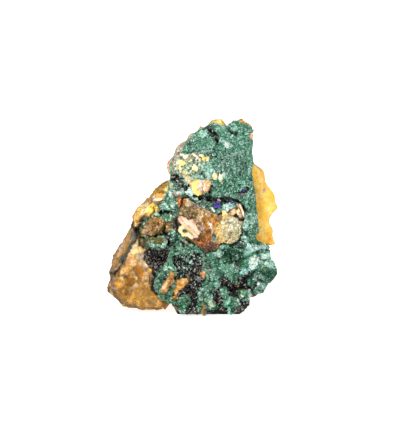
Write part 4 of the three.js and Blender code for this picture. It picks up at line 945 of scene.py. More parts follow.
    ("dark pocket", (21.8, 10.6, 0.9, 0.5, 20), (46, 44, 40), 0.9, 0.2, -0.3),
    ("cyan patch", [(15.6, 13.6), (16.4, 14.6), (17.6, 14.6), (18.8, 15.0), (18.6, 14.0), (17.2, 12.4),
     (16.2, 12.2)], (180, 232, 222), 0.95, 0.5, 0.1),
    ("shaded star foot", [0.4, (15.4, 14.6), (15.2, 13.0)], (16, 22, 20), 0.95, 0.0, -0.4),
    ("violet tinge", (17.7, 14.1, 0.4, 0.4, 0), (126, 146, 196), 0.8, 0.5, 0.1),
    ("pale shoulder", [(16.6, 24.0), (18.4, 22.4), (21.6, 22.2), (23.9, 21.8), (23.6, 20.4), (20.4, 20.2),
     (18.0, 19.2), (17.0, 20.6), (17.8, 22.0)], (226, 252, 244), 0.95, 0.7, 0.1),
    ("shoulder green", (22.6, 20.6, 1.3, 0.7, 20), (60, 124, 92), 0.85, 0.9, 0.0),
    ("pale shoulder left", (18.0, 19.6, 1.2, 0.9, 0), (170, 224, 208), 0.8, 0.8, 0.0),
    ("pale star", [(18.6, 15.0), (18.4, 17.0), (19.2, 18.6), (21.2, 18.6), (21.9, 17.2), (20.8, 15.8),
     (19.6, 14.8)], (238, 254, 246), 0.95, 0.5, 0.4),
    ("pale east", [(22.0, 19.6), (24.6, 19.4), (25.6, 16.0), (26.2, 14.8), (24.0, 15.0), (22.0, 16.2)],
     (206, 242, 226), 0.85, 0.8, 0.1),
    ("gaps of the east", [0.35, (22.2, 17.8), (23.4, 17.2), (23.0, 15.8)], (22, 40, 32), 0.9, 0.1, -0.3),
    ("more gaps of the east", [0.3, (24.6, 17.4), (24.9, 16.2)], (22, 40, 32), 0.9, 0.1, -0.3),
    ("star heart", (20.3, 17.3, 0.7, 0.6, 0), (216, 222, 176), 0.85, 0.3, 0.1),
    ("white bar", [0.35, (23.1, 19.0), (22.4, 18.0)], (248, 253, 248), 1.0, 0.0, 0.3),
    ("pale rim", [0.5, (25.2, 17.6), (25.9, 15.6), (26.4, 14.6)], (190, 232, 212), 0.9, 0.6, 0.1),
    ("tan tinge", (23.6, 14.6, 1.2, 0.6, 30), (168, 168, 118), 0.7, 0.6, 0.0),
    ("dark nicks", [0.4, (18.7, 13.9), (19.6, 13.4), (20.4, 14.2), (21.4, 13.3)], (12, 18, 15), 1.0, 0.0,
     -0.5),
    ("dark nicks left", [0.35, (18.4, 12.8), (19.6, 12.6)], (12, 18, 15), 0.95, 0.0, -0.4),
    ("dark bowl", [(12.2, 22.8), (14.0, 23.4), (16.8, 24.2), (17.8, 22.4), (16.4, 21.4), (14.8, 21.0),
     (12.8, 21.8)], (34, 84, 60), 0.9, 0.9, -0.3),
    ("black in the bowl", [0.5, (16.2, 23.4), (17.2, 22.3)], (8, 10, 9), 1.0, 0.0, -0.7),
    ("bowl light", [0.3, (15.8, 23.2), (16.6, 22.6)], (196, 230, 214), 0.95, 0.0, 0.2),
    ("dark bowl left", [0.5, (12.2, 22.0), (13.4, 21.2)], (14, 22, 18), 1.0, 0.0, -0.5),
    ("black below bowl", [0.35, (14.8, 21.6), (15.6, 21.4)], (14, 20, 18), 0.95, 0.0, -0.3),
    ("dark green", [(8.4, 17.4), (10.6, 21.4), (13.8, 20.6), (16.2, 20.4), (17.4, 17.8), (15.0, 16.2),
     (11.4, 15.8)], (32, 92, 60), 0.9, 1.0, 0.0),
    ("west green", [(6.6, 18.6), (8.4, 18.4), (9.2, 14.4), (12.4, 12.4), (10.8, 11.8), (7.6, 11.4),
     (7.6, 14.4)], (46, 110, 76), 0.7, 1.0, 0.0),
    ("pale left", [(6.2, 19.8), (6.0, 21.4), (8.4, 22.4), (9.8, 22.6), (10.2, 21.4), (9.0, 20.0),
     (7.4, 19.2)], (210, 240, 226), 0.9, 0.8, 0.1),
    ("dark in pale left", [0.3, (9.2, 20.8), (10.2, 20.6)], (30, 50, 40), 0.9, 0.2, -0.3),
    ("pale left low", (8.8, 19.0, 1.0, 1.0, 0), (196, 230, 210), 0.8, 0.8, 0.1),
    ("ring speck", (11.4, 16.6, 0.35, 0.3, 0), (210, 240, 226), 0.9, 0.2, 0.1),
    ("net gaps", [0.4, (13.6, 17.6), (14.2, 16.4), (13.4, 15.6), (14.8, 15.6), (15.4, 14.2)], (20, 28, 24),
     0.95, 0.0, -0.4),
    ("net light", (13.6, 16.0, 0.4, 0.35, 0), (206, 236, 220), 0.9, 0.1, 0.1),
    ("pale bank", [0.6, (7.0, 14.4), (6.8, 13.0), (6.9, 12.2)], (140, 182, 160), 0.7, 0.7, 0.1),
    ("pale middle", [0.7, (11.6, 16.0), (13.2, 14.4), (14.6, 13.0)], (126, 172, 146), 0.6, 0.9, 0.0),
    ("pale middle low", (13.2, 11.8, 1.4, 0.9, 0), (132, 180, 152), 0.65, 0.9, 0.0),
    ("edge of the black", [0.6, (4.2, 19.4), (4.0, 17.2), (4.2, 15.6)], (120, 160, 132), 0.85, 0.8, 0.0),
    ("brown in the edge", (4.7, 16.6, 0.6, 0.6, 0), (116, 84, 66), 0.9, 0.0, 0.0),
    ("grey net", [0.4, (5.0, 15.0), (6.2, 15.6), (6.4, 14.4)], (120, 118, 112), 0.85, 0.1, 0.1),
    ("grey net gap", (5.8, 15.4, 0.4, 0.3, 0), (24, 24, 22), 0.95, 0.0, -0.3),
    ("dark bank", (5.8, 11.6, 0.6, 1.4, 0), (40, 38, 38), 0.95, 0.0, -0.3),
    ("indigo fleck", (4.8, 19.7, 0.5, 0.4, 40), (48, 44, 108), 0.9, 0.0, 0.1),
    ("tan fleck", (4.8, 20.7, 0.7, 0.5, 0), (214, 182, 140), 0.9, 0.0, 0.1),
    ("dark edge of the top", [0.35, (4.8, 59.2), (6.4, 59.7), (8.4, 59.8)], (60, 62, 60), 0.8, 0.3, -0.2),
    ("foot rim", [0.9, (-5.0, -1.6), (3.0, -1.9), (12.0, -1.9), (18.0, -0.9)], (26, 22, 20), 1.0, 0.0, 0.0),
]


def clumps(points, size, seed):
    """How far each point is from the cracks between clumps about `size` millimetres wide, and a
    random value from 0 to 1 of the clump that it lies in."""
    table = np.random.default_rng(seed).uniform(0.0, 1.0, (TABLE_ROWS, 3))
    places = points[:, [0, 2]] / (size * MM)
    cell = np.floor(places).astype(np.int64)
    nearest = np.full(len(points), 9.0)
    second = np.full(len(points), 9.0)
    value = np.zeros(len(points))
    for step in [(i, j) for i in (-1, 0, 1) for j in (-1, 0, 1)]:
        home = cell + step
        picks = table[table_row(home)]
        away = np.linalg.norm(home + picks[:, :2] - places, axis=1)
        second = np.where(away < nearest, nearest, np.minimum(second, away))
        value = np.where(away < nearest, picks[:, 2], value)
        nearest = np.minimum(nearest, away)
    return (second - nearest) * size, value


def coarse_part(points):
    """1 on the lower half of the crust, where the crystals are larger, and 0 on the upper plate."""
    return 1.0 - between(points[:, 2] / MM, 22.0, 30.0)


def crystal_clumps(points):
    """0 in the cracks between clumps of crystals and 1 on them, and the random value of each clump."""
    coarse = coarse_part(points)
    wide_edge, wide_value = clumps(points, 2.3, 61)
    small_edge, small_value = clumps(points, 1.2, 62)
    full = coarse * between(wide_edge, 0.1, 0.7) + (1.0 - coarse) * between(small_edge, 0.0, 0.35)
    return full, coarse * wide_value + (1.0 - coarse) * small_value


crust = fine_copy("malachite_sheet", "malachite_crust", grain=0.28)
crust_points, crust_normals = read_surface(crust.data)
places = face_places(crust_points)
lift = np.zeros(len(crust_points))
for _, shape, _, _, _, rise in CRUST_PLACES:
    if rise:
        lift += rise * within(places, shape, 0.7)
full, _ = crystal_clumps(crust_points)
rough = swell(crust_points, (0.22, 3.4, 21), (0.3, 1.5, 22), (0.26, 0.8, 23)) + lift - 0.45
rough += (full - 0.8) * (0.25 + 0.45 * coarse_part(crust_points))
outward = between(-crust_normals[:, 1], -0.6, 0.0)
crust_points = crust_points + crust_normals * (rough * outward * MM)[:, None]
sunk = 2.0 + swell(crust_points, (1.0, 4.6, 24), (0.6, 1.8, 27))
crust_points[:, 1] += sunk * MM * between(crust_normals[:, 1], 0.2, 0.7)
right, _, high = (crust_points / MM).T
bow = np.clip(1.0 - ((right - BOW_MIDDLE) / BOW_HALF_WIDTH) ** 2, 0.0, 1.0)
bow = BOW * bow * (1.0 - between(high, 0.4, 4.4))
crust_points[:, 1] -= bow * MM * between(-crust_normals[:, 1], -0.2, 0.4)
crust_points = open_cleft(nudge(crust_points, CRUST_PUSHES))
crust_points[:, 2] = np.maximum(crust_points[:, 2], 0.1 * MM)
move_surface(crust.data, crust_points)


def crust_tint(points):
    """Colour of the crust at each point, and how far green crystals cover it."""
    drift = swell(points, (1.0, 5.0, 25), (0.5, 1.6, 26))
    tint = lay(plain(GREEN, len(points)), between(drift, 0.1, 1.0) * 0.45, MINT)
    tint = lay(tint, between(-drift, 0.2, 1.1) * 0.6, DEEP_GREEN)
    cover = np.ones(len(points))
    places = face_places(points)
    for _, shape, colour, strength, crystals, _ in CRUST_PLACES:
        weight = within(places, shape) * strength
        tint = lay(tint, weight, colour)
        cover = cover + (crystals - cover) * weight
    seam, value = clumps(points, 1.15, 63)
    field = within(places, CREAM_FIELD, 1.0)
    tint = tint * (1.0 + field * (0.4 * value - 0.2))[:, None]
    seams = (1.0 - between(seam, 0.08, 0.3)) * between(waves(points, 2.2, 64), -0.5, 0.1) * field
    tint = lay(tint, seams * 0.9, SEAM_GREEN)
    return tint, cover + (0.8 - cover) * seams


# Where crystals will cover the crust, the ground between them is darkened: painted shade, deepest in the
# cracks between clumps.
tint, cover = crust_tint(crust_points)
painted_crystal_shade = cover * (0.93 - 0.3 * full - 0.1 * (1.0 - coarse_part(crust_points)))
put_tint(crust.data, tint * (1.0 - painted_crystal_shade)[:, None], 0.3 + 0.3 * cover)
malachite = stone_finish("malachite", roughness=0.7, gloss=0.25, grain=0.6, relief=0.4,
                         contrast=0.4, mirror=0.2)
crust.data.materials.append(malachite)
smooth_faces(crust.data)
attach(crust, "root")
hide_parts("malachite_crust")


# Malachite druse: thousands of short flat crystals that stand every way on the crust, with a painted
# highlight on the rim and painted shade at the root. The fine one is on the upper plate, and the coarse one
# on the lower half.
GREY_GREEN = (150, 194, 174)     # crystals that stand on dark ground
PLATE_COUNT = 16000              # crystals of each druse


def shape_arrays(bm):
    """The points and faces of a small shape, which is then used up."""
    bm.verts.ensure_lookup_table()
    points = np.array([vert.co[:] for vert in bm.verts])
    faces = [[vert.index for vert in face.verts] for face in bm.faces]
    bm.free()
    return points, faces


def spread_copies(name, shape, places, turns, sizes, share, low_tint, high_tint, shine):
    """One mesh of many copies of a small shape, each with its own place, turn, size and colours.

    The shape stands along X. The colour of its points goes from `low_tint` where `share` is 0 to
    `high_tint` where it is 1.
    """
    points, faces = shape
    count = len(points)
    copies = np.einsum("kvi,kij->kvj", points[None] * sizes[:, None, :], turns) + places[:, None, :]
    # Nothing reaches below the floor.
    copies[:, :, 2] = np.maximum(copies[:, :, 2], 0.0)
    share = share[None, :, None]
    tints = low_tint[:, None, :] * (1.0 - share) + high_tint[:, None, :] * share
    joined = [[corner + count * k for corner in face] for k in range(len(places)) for face in faces]
    mesh = bpy.data.meshes.new(name)
    mesh.from_pydata(copies.reshape(-1, 3), [], joined)
    put_tint(mesh, tints.reshape(-1, 3), np.repeat(shine, count))
    return put_in_scene(name, mesh)


def surface_spots(piece, count, rng, weigh):
    """Random spots on a mesh and their outward directions, more of them where `weigh` is larger."""
    total = len(piece.data.polygons)
    centres, normals, areas = np.empty(total * 3), np.empty(total * 3), np.empty(total)
    piece.data.polygons.foreach_get("center", centres)
    piece.data.polygons.foreach_get("normal", normals)
    piece.data.polygons.foreach_get("area", areas)
    centres, normals = centres.reshape(-1, 3), normals.reshape(-1, 3)
    chance = areas * weigh(centres, normals)
    picked = rng.choice(total, size=count, p=chance / chance.sum())
    aside = rng.normal(0.0, 0.1 * MM, (count, 3))
    aside -= normals[picked] * np.sum(aside * normals[picked], axis=1)[:, None]
    return centres[picked] + aside, normals[picked]


def leaning_turns(normals, lean, rng):
    """Turns that set X near each direction, tipped aside by up to `lean`, with a random spin."""
    axis = normals + lean * rng.normal(size=normals.shape)
    axis /= np.linalg.norm(axis, axis=1)[:, None]
    side = np.cross(axis, rng.normal(size=axis.shape))
    side /= np.linalg.norm(side, axis=1)[:, None]
    return np.stack([axis, side, np.cross(axis, side)], axis=1)


def crystal_weight(coarse):
    """Where crystals grow: on the lower half if `coarse` is 1, and on the upper plate if it is 0."""
    def weigh(centres, normals):
        _, cover = crust_tint(centres)
        full, _ = crystal_clumps(centres)
        grown = cover ** 2 * (0.06 + 0.94 * full) * between(-normals[:, 1], -0.5, 0.2) + 1e-7
        return grown * (1.0 - np.abs(coarse_part(centres) - coarse))
    return weigh


plate_bm = bmesh.new()
bmesh.ops.create_uvsphere(plate_bm, u_segments=6, v_segments=2, radius=1.0)
plate_shape = shape_arrays(plate_bm)
# Rim points go from painted shade at the root to painted highlight at the tip; the faces lie between.
on_rim = np.abs(plate_shape[0][:, 2]) < 0.5
plate_lit_share = np.where(on_rim, 0.5 + 0.5 * plate_shape[0][:, 1], 0.6)
silky = stone_finish("malachite crystal", roughness=0.6, gloss=0.4, grain=0.5, relief=0.1,
                     contrast=0.2, mirror=0.45)

# Druses: name, seed, how coarse, half the length, width and thickness in mm, first brightness
DRUSES = [
    ("fine_druse", 31, 0.0, (0.36, 0.28, 0.12), 0.02),
    ("coarse_druse", 34, 1.0, (0.43, 0.34, 0.14), -0.16),
]
for name, seed, coarse, half_size, start_glow in DRUSES:
    rng = np.random.default_rng(seed)
    spots, outward = surface_spots(crust, PLATE_COUNT, rng, crystal_weight(coarse))
    spot_tint, _ = crust_tint(spots)
    spot_tint = lay(spot_tint, 1.0 - between(spot_tint[:, 1], 0.015, 0.08), GREY_GREEN)
    full, clump_value = crystal_clumps(spots)
    growth = rng.uniform(0.6, 1.4, PLATE_COUNT)
    sizes = growth[:, None] * np.array(half_size) * MM
    glow = 0.36 * clump_value + 0.9 * rng.beta(0.7, 0.8, PLATE_COUNT) + start_glow
    glow += 0.12 * waves(spots, 2.6, 65)
    # Crystals in the cracks between clumps are darker: painted shade.
    glow = np.clip(glow * (0.55 + 0.45 * full), 0.0, 1.0)[:, None]
    pale = between(spot_tint[:, 1], 0.35, 0.7)[:, None]
    dark_tips = spot_tint * (np.array([0.16, 0.28, 0.22]) * (1.0 - pale) + 0.7 * pale)
    pale_tips = spot_tint + (tone(WHITE_MINT) - spot_tint) * 0.75
    tips = dark_tips + (spot_tint - dark_tips) * np.clip(glow / 0.45, 0.0, 1.0)
    tips = tips + (pale_tips - tips) * between(glow, 0.55, 1.0)
    lean = np.where(rng.uniform(size=PLATE_COUNT) < 0.5, 0.4, 1.4)[:, None]
    standing = leaning_turns(outward, lean, rng)[:, [1, 0, 2], :]
    druse = spread_copies(name, plate_shape, spots + outward * 0.1 * MM, standing, sizes, plate_lit_share,
                          tips * (0.12 + 0.45 * pale), tips, rng.uniform(0.2, 1.0, PLATE_COUNT))
    druse.data.materials.append(silky)
    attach(druse, "root")


# Crumbs: blocky grains of limonite, altered malachite and black oxide. Some lie loose on the crust
# where no crystals cover it, and the others on the rock in the windows and the cavity of the crust.
CRUMB_COUNT = 9000               # crumbs on the crust
GRAIN_COUNT = 8000               # crumbs on the rock
LEFT_KNOB = (-11.6, 28.4, 3.6, 3.4, 0)
CAVITY = (-10.4, 18.0, 3.8, 3.8, 0)
CREAM_SPARK = (250, 240, 214)
BROWN_CRUMB = (74, 54, 36)
GREY_GLINT = (172, 166, 158)
SMOOTH_PLACES = [row[1] for row in CRUST_PLACES if row[0] in ("long drop", "short drop", "middle drop")]


def bare_weight(centres, normals):
    """Where crumbs lie on the crust."""
    _, cover = crust_tint(centres)
    places = face_places(centres)
    for shape in SMOOTH_PLACES:
        cover = np.maximum(cover, within(places, shape) * 0.8)
    return (1.0 - cover) ** 2 * between(-normals[:, 1], -0.3, 0.2) + 1e-7


def grain_tops(tint, rng):
    """Colours of loose grains on ground of this colour, and how black the ground is.

    Some grains on pale ground are cream or brown, and a quarter of those on black ground carry a painted
    grey glint.
    """
    count = len(tint)
    tops = tint * np.exp(rng.normal(0.0, 0.34, count))[:, None]
    kind = rng.uniform(size=count)
    dark = 1.0 - between(tint[:, 1], 0.03, 0.1)
    tops = lay(tops, (kind < 0.06) * (1.0 - dark) * 0.4, CREAM_SPARK)
    tops = lay(tops, (kind > 0.9) * (1.0 - dark) * 0.7, BROWN_CRUMB)
    tops = lay(tops, (kind < 0.25) * dark * rng.uniform(0.2, 1.0, count), GREY_GLINT)
    return np.clip(tops, 0.0, 0.95), dark


crumb_bm = bmesh.new()
bmesh.ops.create_cube(crumb_bm, size=2.0)
for k, vert in enumerate(crumb_bm.verts):
    vert.co *= 0.72 + 0.09 * (k * 5 % 8)
crumb_shape = shape_arrays(crumb_bm)
# Each crumb is darker on its half toward the surface it lies on: painted shade.
crumb_lit_share = np.clip(crumb_shape[0][:, 0], 0.0, 1.0)
glassy = stone_finish("oxide and crumbs", roughness=0.75, gloss=0.5, grain=0.5, relief=0.1,
                      contrast=0.2, mirror=0.3)


def scatter_crumbs(name, host, count, seed, weigh, tint_at):
    """Crumbs on a piece: `weigh` says where they lie, and `tint_at` what colour the ground is."""
    rng = np.random.default_rng(seed)
    spots, outward = surface_spots(host, count, rng, weigh)
    growth = rng.uniform(0.5, 1.3, count)
    sizes = np.column_stack([0.2 * growth, 0.24 * growth, 0.17 * growth]) * MM
    tops, dark = grain_tops(tint_at(spots), rng)
    turns = leaning_turns(outward, 0.7, rng)
    crumbs = spread_copies(name, crumb_shape, spots, turns, sizes, crumb_lit_share, tops * 0.7, tops,
                           0.2 + 0.8 * dark)
    crumbs.data.materials.append(glassy)
    return crumbs


def window_weight(centres, normals):
    """Where crumbs lie on the rock."""
    places = centres[:, [0, 2]] / MM
    windows = within(places, WINDOW) + 0.4 * within(places, LEFT_KNOB)
    windows += 1.4 * within(places, CAVITY)
    return np.clip(windows, 0.0, 2.0) * front_of(centres) * between(-normals[:, 1], -0.3, 0.2) + 1e-7


crumbs = scatter_crumbs("crust_crumbs", crust, CRUMB_COUNT, 32, bare_weight,
                        lambda spots: crust_tint(spots)[0])
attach(crumbs, "root")

grains = scatter_crumbs("window_grains", rock, GRAIN_COUNT, 33, window_weight, rock_tint)
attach(grains, "root")


# Altered chips: angular blocks and slivers of cream, peach and yellow carbonate that lie among the
# green crystals, and the tan splinters at the right end of the window.
crust_tree = BVHTree.FromObject(crust, bpy.context.evaluated_depsgraph_get())
rock_tree = BVHTree.FromObject(rock, bpy.context.evaluated_depsgraph_get())
SIGHT = Vector((0.0, math.cos(CAMERA_ELEVATION), -math.sin(CAMERA_ELEVATION)))


def point_at(x, up, deep):
    """The point at this depth that is seen at a place of the face, in millimetres."""
    right, up = (x + SIGHT_ASIDE) / SIGHT_WIDER, (up + SIGHT_BELOW) / SIGHT_WIDER
    return right, deep, up * (1.0 + FACE_LEAN * SIGHT_FALL) - SIGHT_FALL * (deep - FACE_FOOT)


def face_depth(x, up):
    """Where the surface of the specimen lies, in millimetres, at a place on its face."""
    start = Vector(point_at(x, up, -60.0)) * MM
    hits = [tree.ray_cast(start, SIGHT)[0] for tree in (crust_tree, rock_tree)]
    return min(hit.y for hit in hits if hit) / MM


def cut_leaf(outline, middle, depth, slant, thick):
    """A flat chip with this outline on the face, in millimetres: a prism whose points are moved.

    Its front is `depth` deep at its middle and slopes by `slant` in x and z.
    """
    bm = bmesh.new()
    bmesh.ops.create_cone(bm, cap_ends=True, segments=len(outline), radius1=1.0, radius2=1.0, depth=2.0)
    bm.verts.ensure_lookup_table()
    for k, (x, up) in enumerate(outline):
        deep = depth + slant[0] * (x - middle[0]) + slant[1] * (up - middle[1])
        front, back = bm.verts[2 * k], bm.verts[2 * k + 1]
        front.co = point_at(x, up, deep)
        back.co = front.co + Vector((0.0, thick, 0.0))
    bm.normal_update()
    bmesh.ops.recalc_face_normals(bm, faces=bm.faces)
    return bm


CHIP_ROOT = 1.4                  # how deep the chips sit in the crust, in millimetres
FACE_ORDER = Vector((1.0, 0.637, 0.411))    # the faces of a chip follow each other this way

# Chips: name, outline, how far they stand proud in mm, slope in x and z, colour, colour of patches
CHIPS = [
    ("peach chip", [(-2.2, 44.5), (-0.9, 44.3), (0.3, 43.7), (0.9, 43.1), (0.4, 42.6), (-0.4, 42.3),
     (-0.9, 41.5), (-1.6, 41.5), (-2.1, 42.7)], 0.5, (0.1, -0.1), (244, 204, 166), (252, 224, 190)),
    ("yellow block", [(-0.1, 42.0), (1.2, 42.6), (2.7, 42.8), (2.3, 41.0), (2.2, 39.8), (3.2, 38.8),
     (2.6, 38.0), (1.5, 38.0), (0.5, 38.8), (0.1, 40.2)], 0.8, (-0.15, 0.15), (250, 216, 132),
     (242, 190, 100)),
    ("lilac side", [(2.6, 42.6), (3.8, 42.5), (3.4, 41.2), (3.5, 39.2), (2.9, 39.0), (2.2, 39.9),
     (2.3, 41.0)], 0.75, (0.3, 0.0), (222, 206, 212), (206, 188, 196)),
    ("block lip", [(2.6, 42.7), (4.3, 42.7), (4.0, 41.9), (3.6, 42.2)], 0.7, (0.1, 0.2), (250, 216, 158),
     (246, 200, 140)),
    ("split block", [(3.8, 41.4), (4.4, 42.0), (4.6, 39.2), (3.9, 39.2), (3.6, 40.4)], 0.7, (-0.3, 0.0),
     (250, 234, 212), (240, 226, 200)),
    ("peach block", [(4.4, 42.0), (5.5, 43.0), (5.7, 41.2), (5.6, 40.0), (4.9, 39.0), (4.5, 39.4)], 0.8,
     (0.3, 0.0), (232, 188, 150), (214, 160, 122)),
    ("diamond chip", [(7.2, 45.3), (7.8, 44.8), (8.3, 44.0), (8.0, 42.3), (7.6, 42.1), (7.0, 43.0),
     (6.5, 43.8), (6.6, 44.4)], 0.5, (0.1, 0.0), (246, 214, 164), (236, 190, 136)),
    ("small cream chip", [(8.9, 44.9), (9.8, 44.1), (9.6, 43.0), (8.7, 43.2)], 0.3, (0.0, 0.1),
     (238, 240, 204), (224, 230, 190)),
    ("tan sliver", [(8.9, 42.5), (9.4, 42.4), (10.1, 41.6), (9.8, 41.4)], 0.3, (0.0, 0.1), (232, 206, 152),
     (220, 190, 140)),
    ("streak left", [(-3.8, 51.3), (-2.5, 51.0), (-2.2, 50.3), (-3.6, 50.5)], 0.4, (0.0, 0.1),
     (250, 228, 208), (244, 214, 184)),
    ("streak middle", [(-2.9, 50.7), (-0.8, 50.9), (-0.1, 50.5), (-0.4, 49.9), (-2.4, 49.4)], 0.4,
     (0.0, 0.1), (244, 216, 186), (250, 232, 214)),
    ("streak drop", [(-1.2, 50.0), (-0.4, 49.9), (-0.5, 49.0), (-1.0, 49.1)], 0.4, (0.0, 0.0),
     (218, 170, 120), (206, 156, 104)),
    ("streak right", [(0.2, 51.3), (1.6, 51.0), (3.2, 50.9), (4.8, 50.3), (3.9, 49.9), (2.6, 50.3),
     (1.2, 50.0), (0.7, 50.4)], 0.4, (0.0, 0.1), (250, 226, 214), (248, 214, 190)),
    ("yellow chip", [(3.3, 50.2), (4.6, 50.1), (4.4, 49.2), (3.5, 49.0)], 0.5, (0.0, 0.0), (254, 226, 130),
     (250, 204, 96)),
    ("streak end", [(4.8, 50.1), (5.8, 49.9), (5.3, 48.7), (4.7, 49.3)], 0.4, (0.0, 0.1), (250, 216, 170),
     (244, 196, 140)),
    ("white chip", [(1.3, 50.0), (2.3, 49.8), (1.9, 48.9), (1.2, 49.1)], 0.4, (0.0, 0.1), (250, 240, 212),
     (244, 226, 190)),
    ("tan chip", [(2.1, 50.0), (2.9, 49.6), (2.7, 48.4), (1.9, 48.6), (2.0, 49.2)], 0.35, (0.2, 0.0),
     (226, 190, 124), (204, 162, 96)),
    ("cream slab", [(-5.1, 48.1), (-4.0, 49.3), (-3.0, 49.0), (-3.1, 48.0), (-4.0, 47.6)], 0.3, (-0.1, 0.0),
     (252, 238, 184), (250, 226, 150)),
    ("yellow slab", [(-3.0, 48.9), (-2.2, 48.6), (-1.5, 48.1), (-1.9, 47.2), (-2.7, 47.2), (-3.0, 47.8)],
     0.4, (0.1, 0.1), (248, 222, 132), (240, 206, 112)),
    ("low cream slab", [(-4.0, 47.4), (-2.9, 47.5), (-2.6, 46.2), (-3.3, 45.6), (-4.2, 46.3)], 0.3,
     (0.0, 0.1), (252, 240, 190), (248, 230, 164)),
    ("yellow tan slab", [(-2.9, 45.8), (-1.4, 45.6), (-1.2, 44.8), (-2.4, 44.5)], 0.35, (0.0, 0.1),
     (246, 222, 152), (236, 204, 136)),
    ("right cream slab", [(0.1, 46.8), (0.9, 47.9), (1.9, 47.0), (2.2, 46.0), (1.3, 45.6), (0.2, 46.0)],
     0.45, (0.1, 0.0), (255, 242, 190), (248, 226, 150)),
    ("pink splinter", [(-5.0, 42.7), (-4.6, 42.9), (-3.6, 42.0), (-3.9, 41.7)], 0.5, (0.0, 0.0),
     (232, 186, 164), (222, 172, 148)),
    ("orange chip", [(-7.1, 41.6), (-5.9, 41.7), (-5.4, 40.4), (-7.0, 40.3)], 0.4, (0.1, 0.1),
     (232, 168, 92), (240, 190, 120)),
    ("yellow shard", [(-8.5, 40.4), (-7.3, 40.1), (-7.7, 39.0), (-8.9, 39.3)], 0.4, (0.0, 0.1),
     (248, 206, 120), (240, 184, 96)),
    ("wedge shard", [(-11.4, 38.3), (-9.6, 38.7), (-9.3, 37.2), (-11.4, 36.8)], 0.3, (0.0, 0.1),
     (236, 178, 92), (222, 152, 66)),
    ("wedge streak", [(-11.9, 36.6), (-10.2, 37.2), (-9.2, 36.6), (-11.0, 36.1)], 0.3, (0.0, 0.2),
     (252, 228, 204), (246, 208, 168)),
    ("first splinter", [(12.2, 32.0), (12.9, 33.3), (13.8, 33.7), (14.2, 32.6), (13.4, 31.5)], 0.6,
     (-0.2, 0.1), (240, 202, 160), (226, 178, 132)),
    ("second splinter", [(14.3, 32.8), (15.2, 33.7), (15.9, 32.4), (14.9, 31.5)], 0.6, (0.2, 0.1),
     (246, 214, 154), (232, 190, 126)),
    ("long splinter", [(15.1, 35.1), (15.8, 34.9), (16.8, 32.6), (17.1, 30.6), (16.4, 31.4), (15.9, 33.0)],
     0.6, (0.2, 0.0), (240, 210, 180), (220, 184, 150)),
    ("slanting splinter", [(14.2, 35.2), (14.8, 35.4), (16.1, 33.2), (15.6, 33.0)], 0.5, (0.2, 0.1),
     (226, 190, 156), (206, 166, 128)),
    ("grey sliver", [(15.1, 38.0), (16.6, 38.6), (17.6, 38.5), (15.6, 37.5)], 0.4, (0.0, 0.1),
     (170, 160, 154), (150, 138, 132)),
    ("white sliver", [(7.9, 36.7), (8.6, 36.9), (9.5, 36.2), (9.0, 36.0)], 1.2, (0.0, 0.1), (252, 232, 208),
     (246, 216, 184)),
    ("long white sliver", [(3.8, 37.6), (4.2, 37.4), (4.8, 36.0), (4.5, 35.9)], 0.4, (0.1, 0.0),
     (224, 240, 232), (200, 226, 212)),
    ("slanting white sliver", [(5.7, 34.7), (6.2, 34.7), (7.6, 32.9), (7.2, 32.5)], 0.4, (0.1, 0.0),
     (230, 246, 236), (206, 232, 218)),
    ("cream thread", [(1.0, 36.4), (1.4, 36.4), (3.2, 33.6), (3.0, 33.3)], 0.4, (0.1, 0.0), (232, 204, 176),
     (214, 178, 148)),
    ("small knob chip", [(9.9, 32.9), (10.6, 33.2), (11.4, 32.2), (11.2, 30.7), (10.2, 30.5), (9.8, 31.6)],
     0.4, (0.1, 0.1), (248, 220, 150), (238, 194, 112)),
    ("edge chip", [(18.8, 57.6), (19.3, 57.4), (19.7, 56.0), (19.3, 55.6)], 0.3, (0.1, 0.0),
     (244, 190, 146), (232, 170, 120)),
]
chip_bm = bmesh.new()
chip_tints = []
for _, outline, proud, slant, colour, patches in CHIPS:
    middle = np.mean(outline, axis=0)
    own = cut_leaf(outline, middle, face_depth(*middle) - proud, slant, proud + CHIP_ROOT)
    bmesh.ops.bevel(own, geom=own.edges[:], offset=0.1, affect="EDGES", segments=1, profile=0.5,
                    material=-1)
    bmesh.ops.triangulate(own, faces=own.faces)
    own.faces.sort(key=lambda face: face.calc_center_median().dot(FACE_ORDER))
    bmesh.ops.subdivide_edges(own, edges=own.edges, cuts=2)
    own_mesh = finished_mesh("chip", own)
    chip_bm.from_mesh(own_mesh)
    chip_points, _ = read_surface(own_mesh)
    drift = waves(chip_points * MM, 1.1, 41)
    chip_tints.append(lay(plain(colour, len(drift)), between(drift, -0.3, 0.5), patches))
    bpy.data.meshes.remove(own_mesh)
bmesh.ops.scale(chip_bm, verts=chip_bm.verts, vec=(MM, MM, MM))
chips = put_in_scene("altered_chips", finished_mesh("altered_chips", chip_bm))
chip_points, chip_normals = read_surface(chips.data)
bumpy = 0.08 * waves(chip_points, 0.6, 42)
move_surface(chips.data, chip_points + chip_normals * (bumpy * MM)[:, None])
put_tint(chips.data, np.concatenate(chip_tints), np.full(len(chip_points), 0.3))
chalky = stone_finish("altered chip", roughness=0.8, gloss=0.3, grain=0.6, relief=0.3,
                      contrast=0.3, mirror=0.35)
chips.data.materials.append(chalky)
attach(chips, "root")


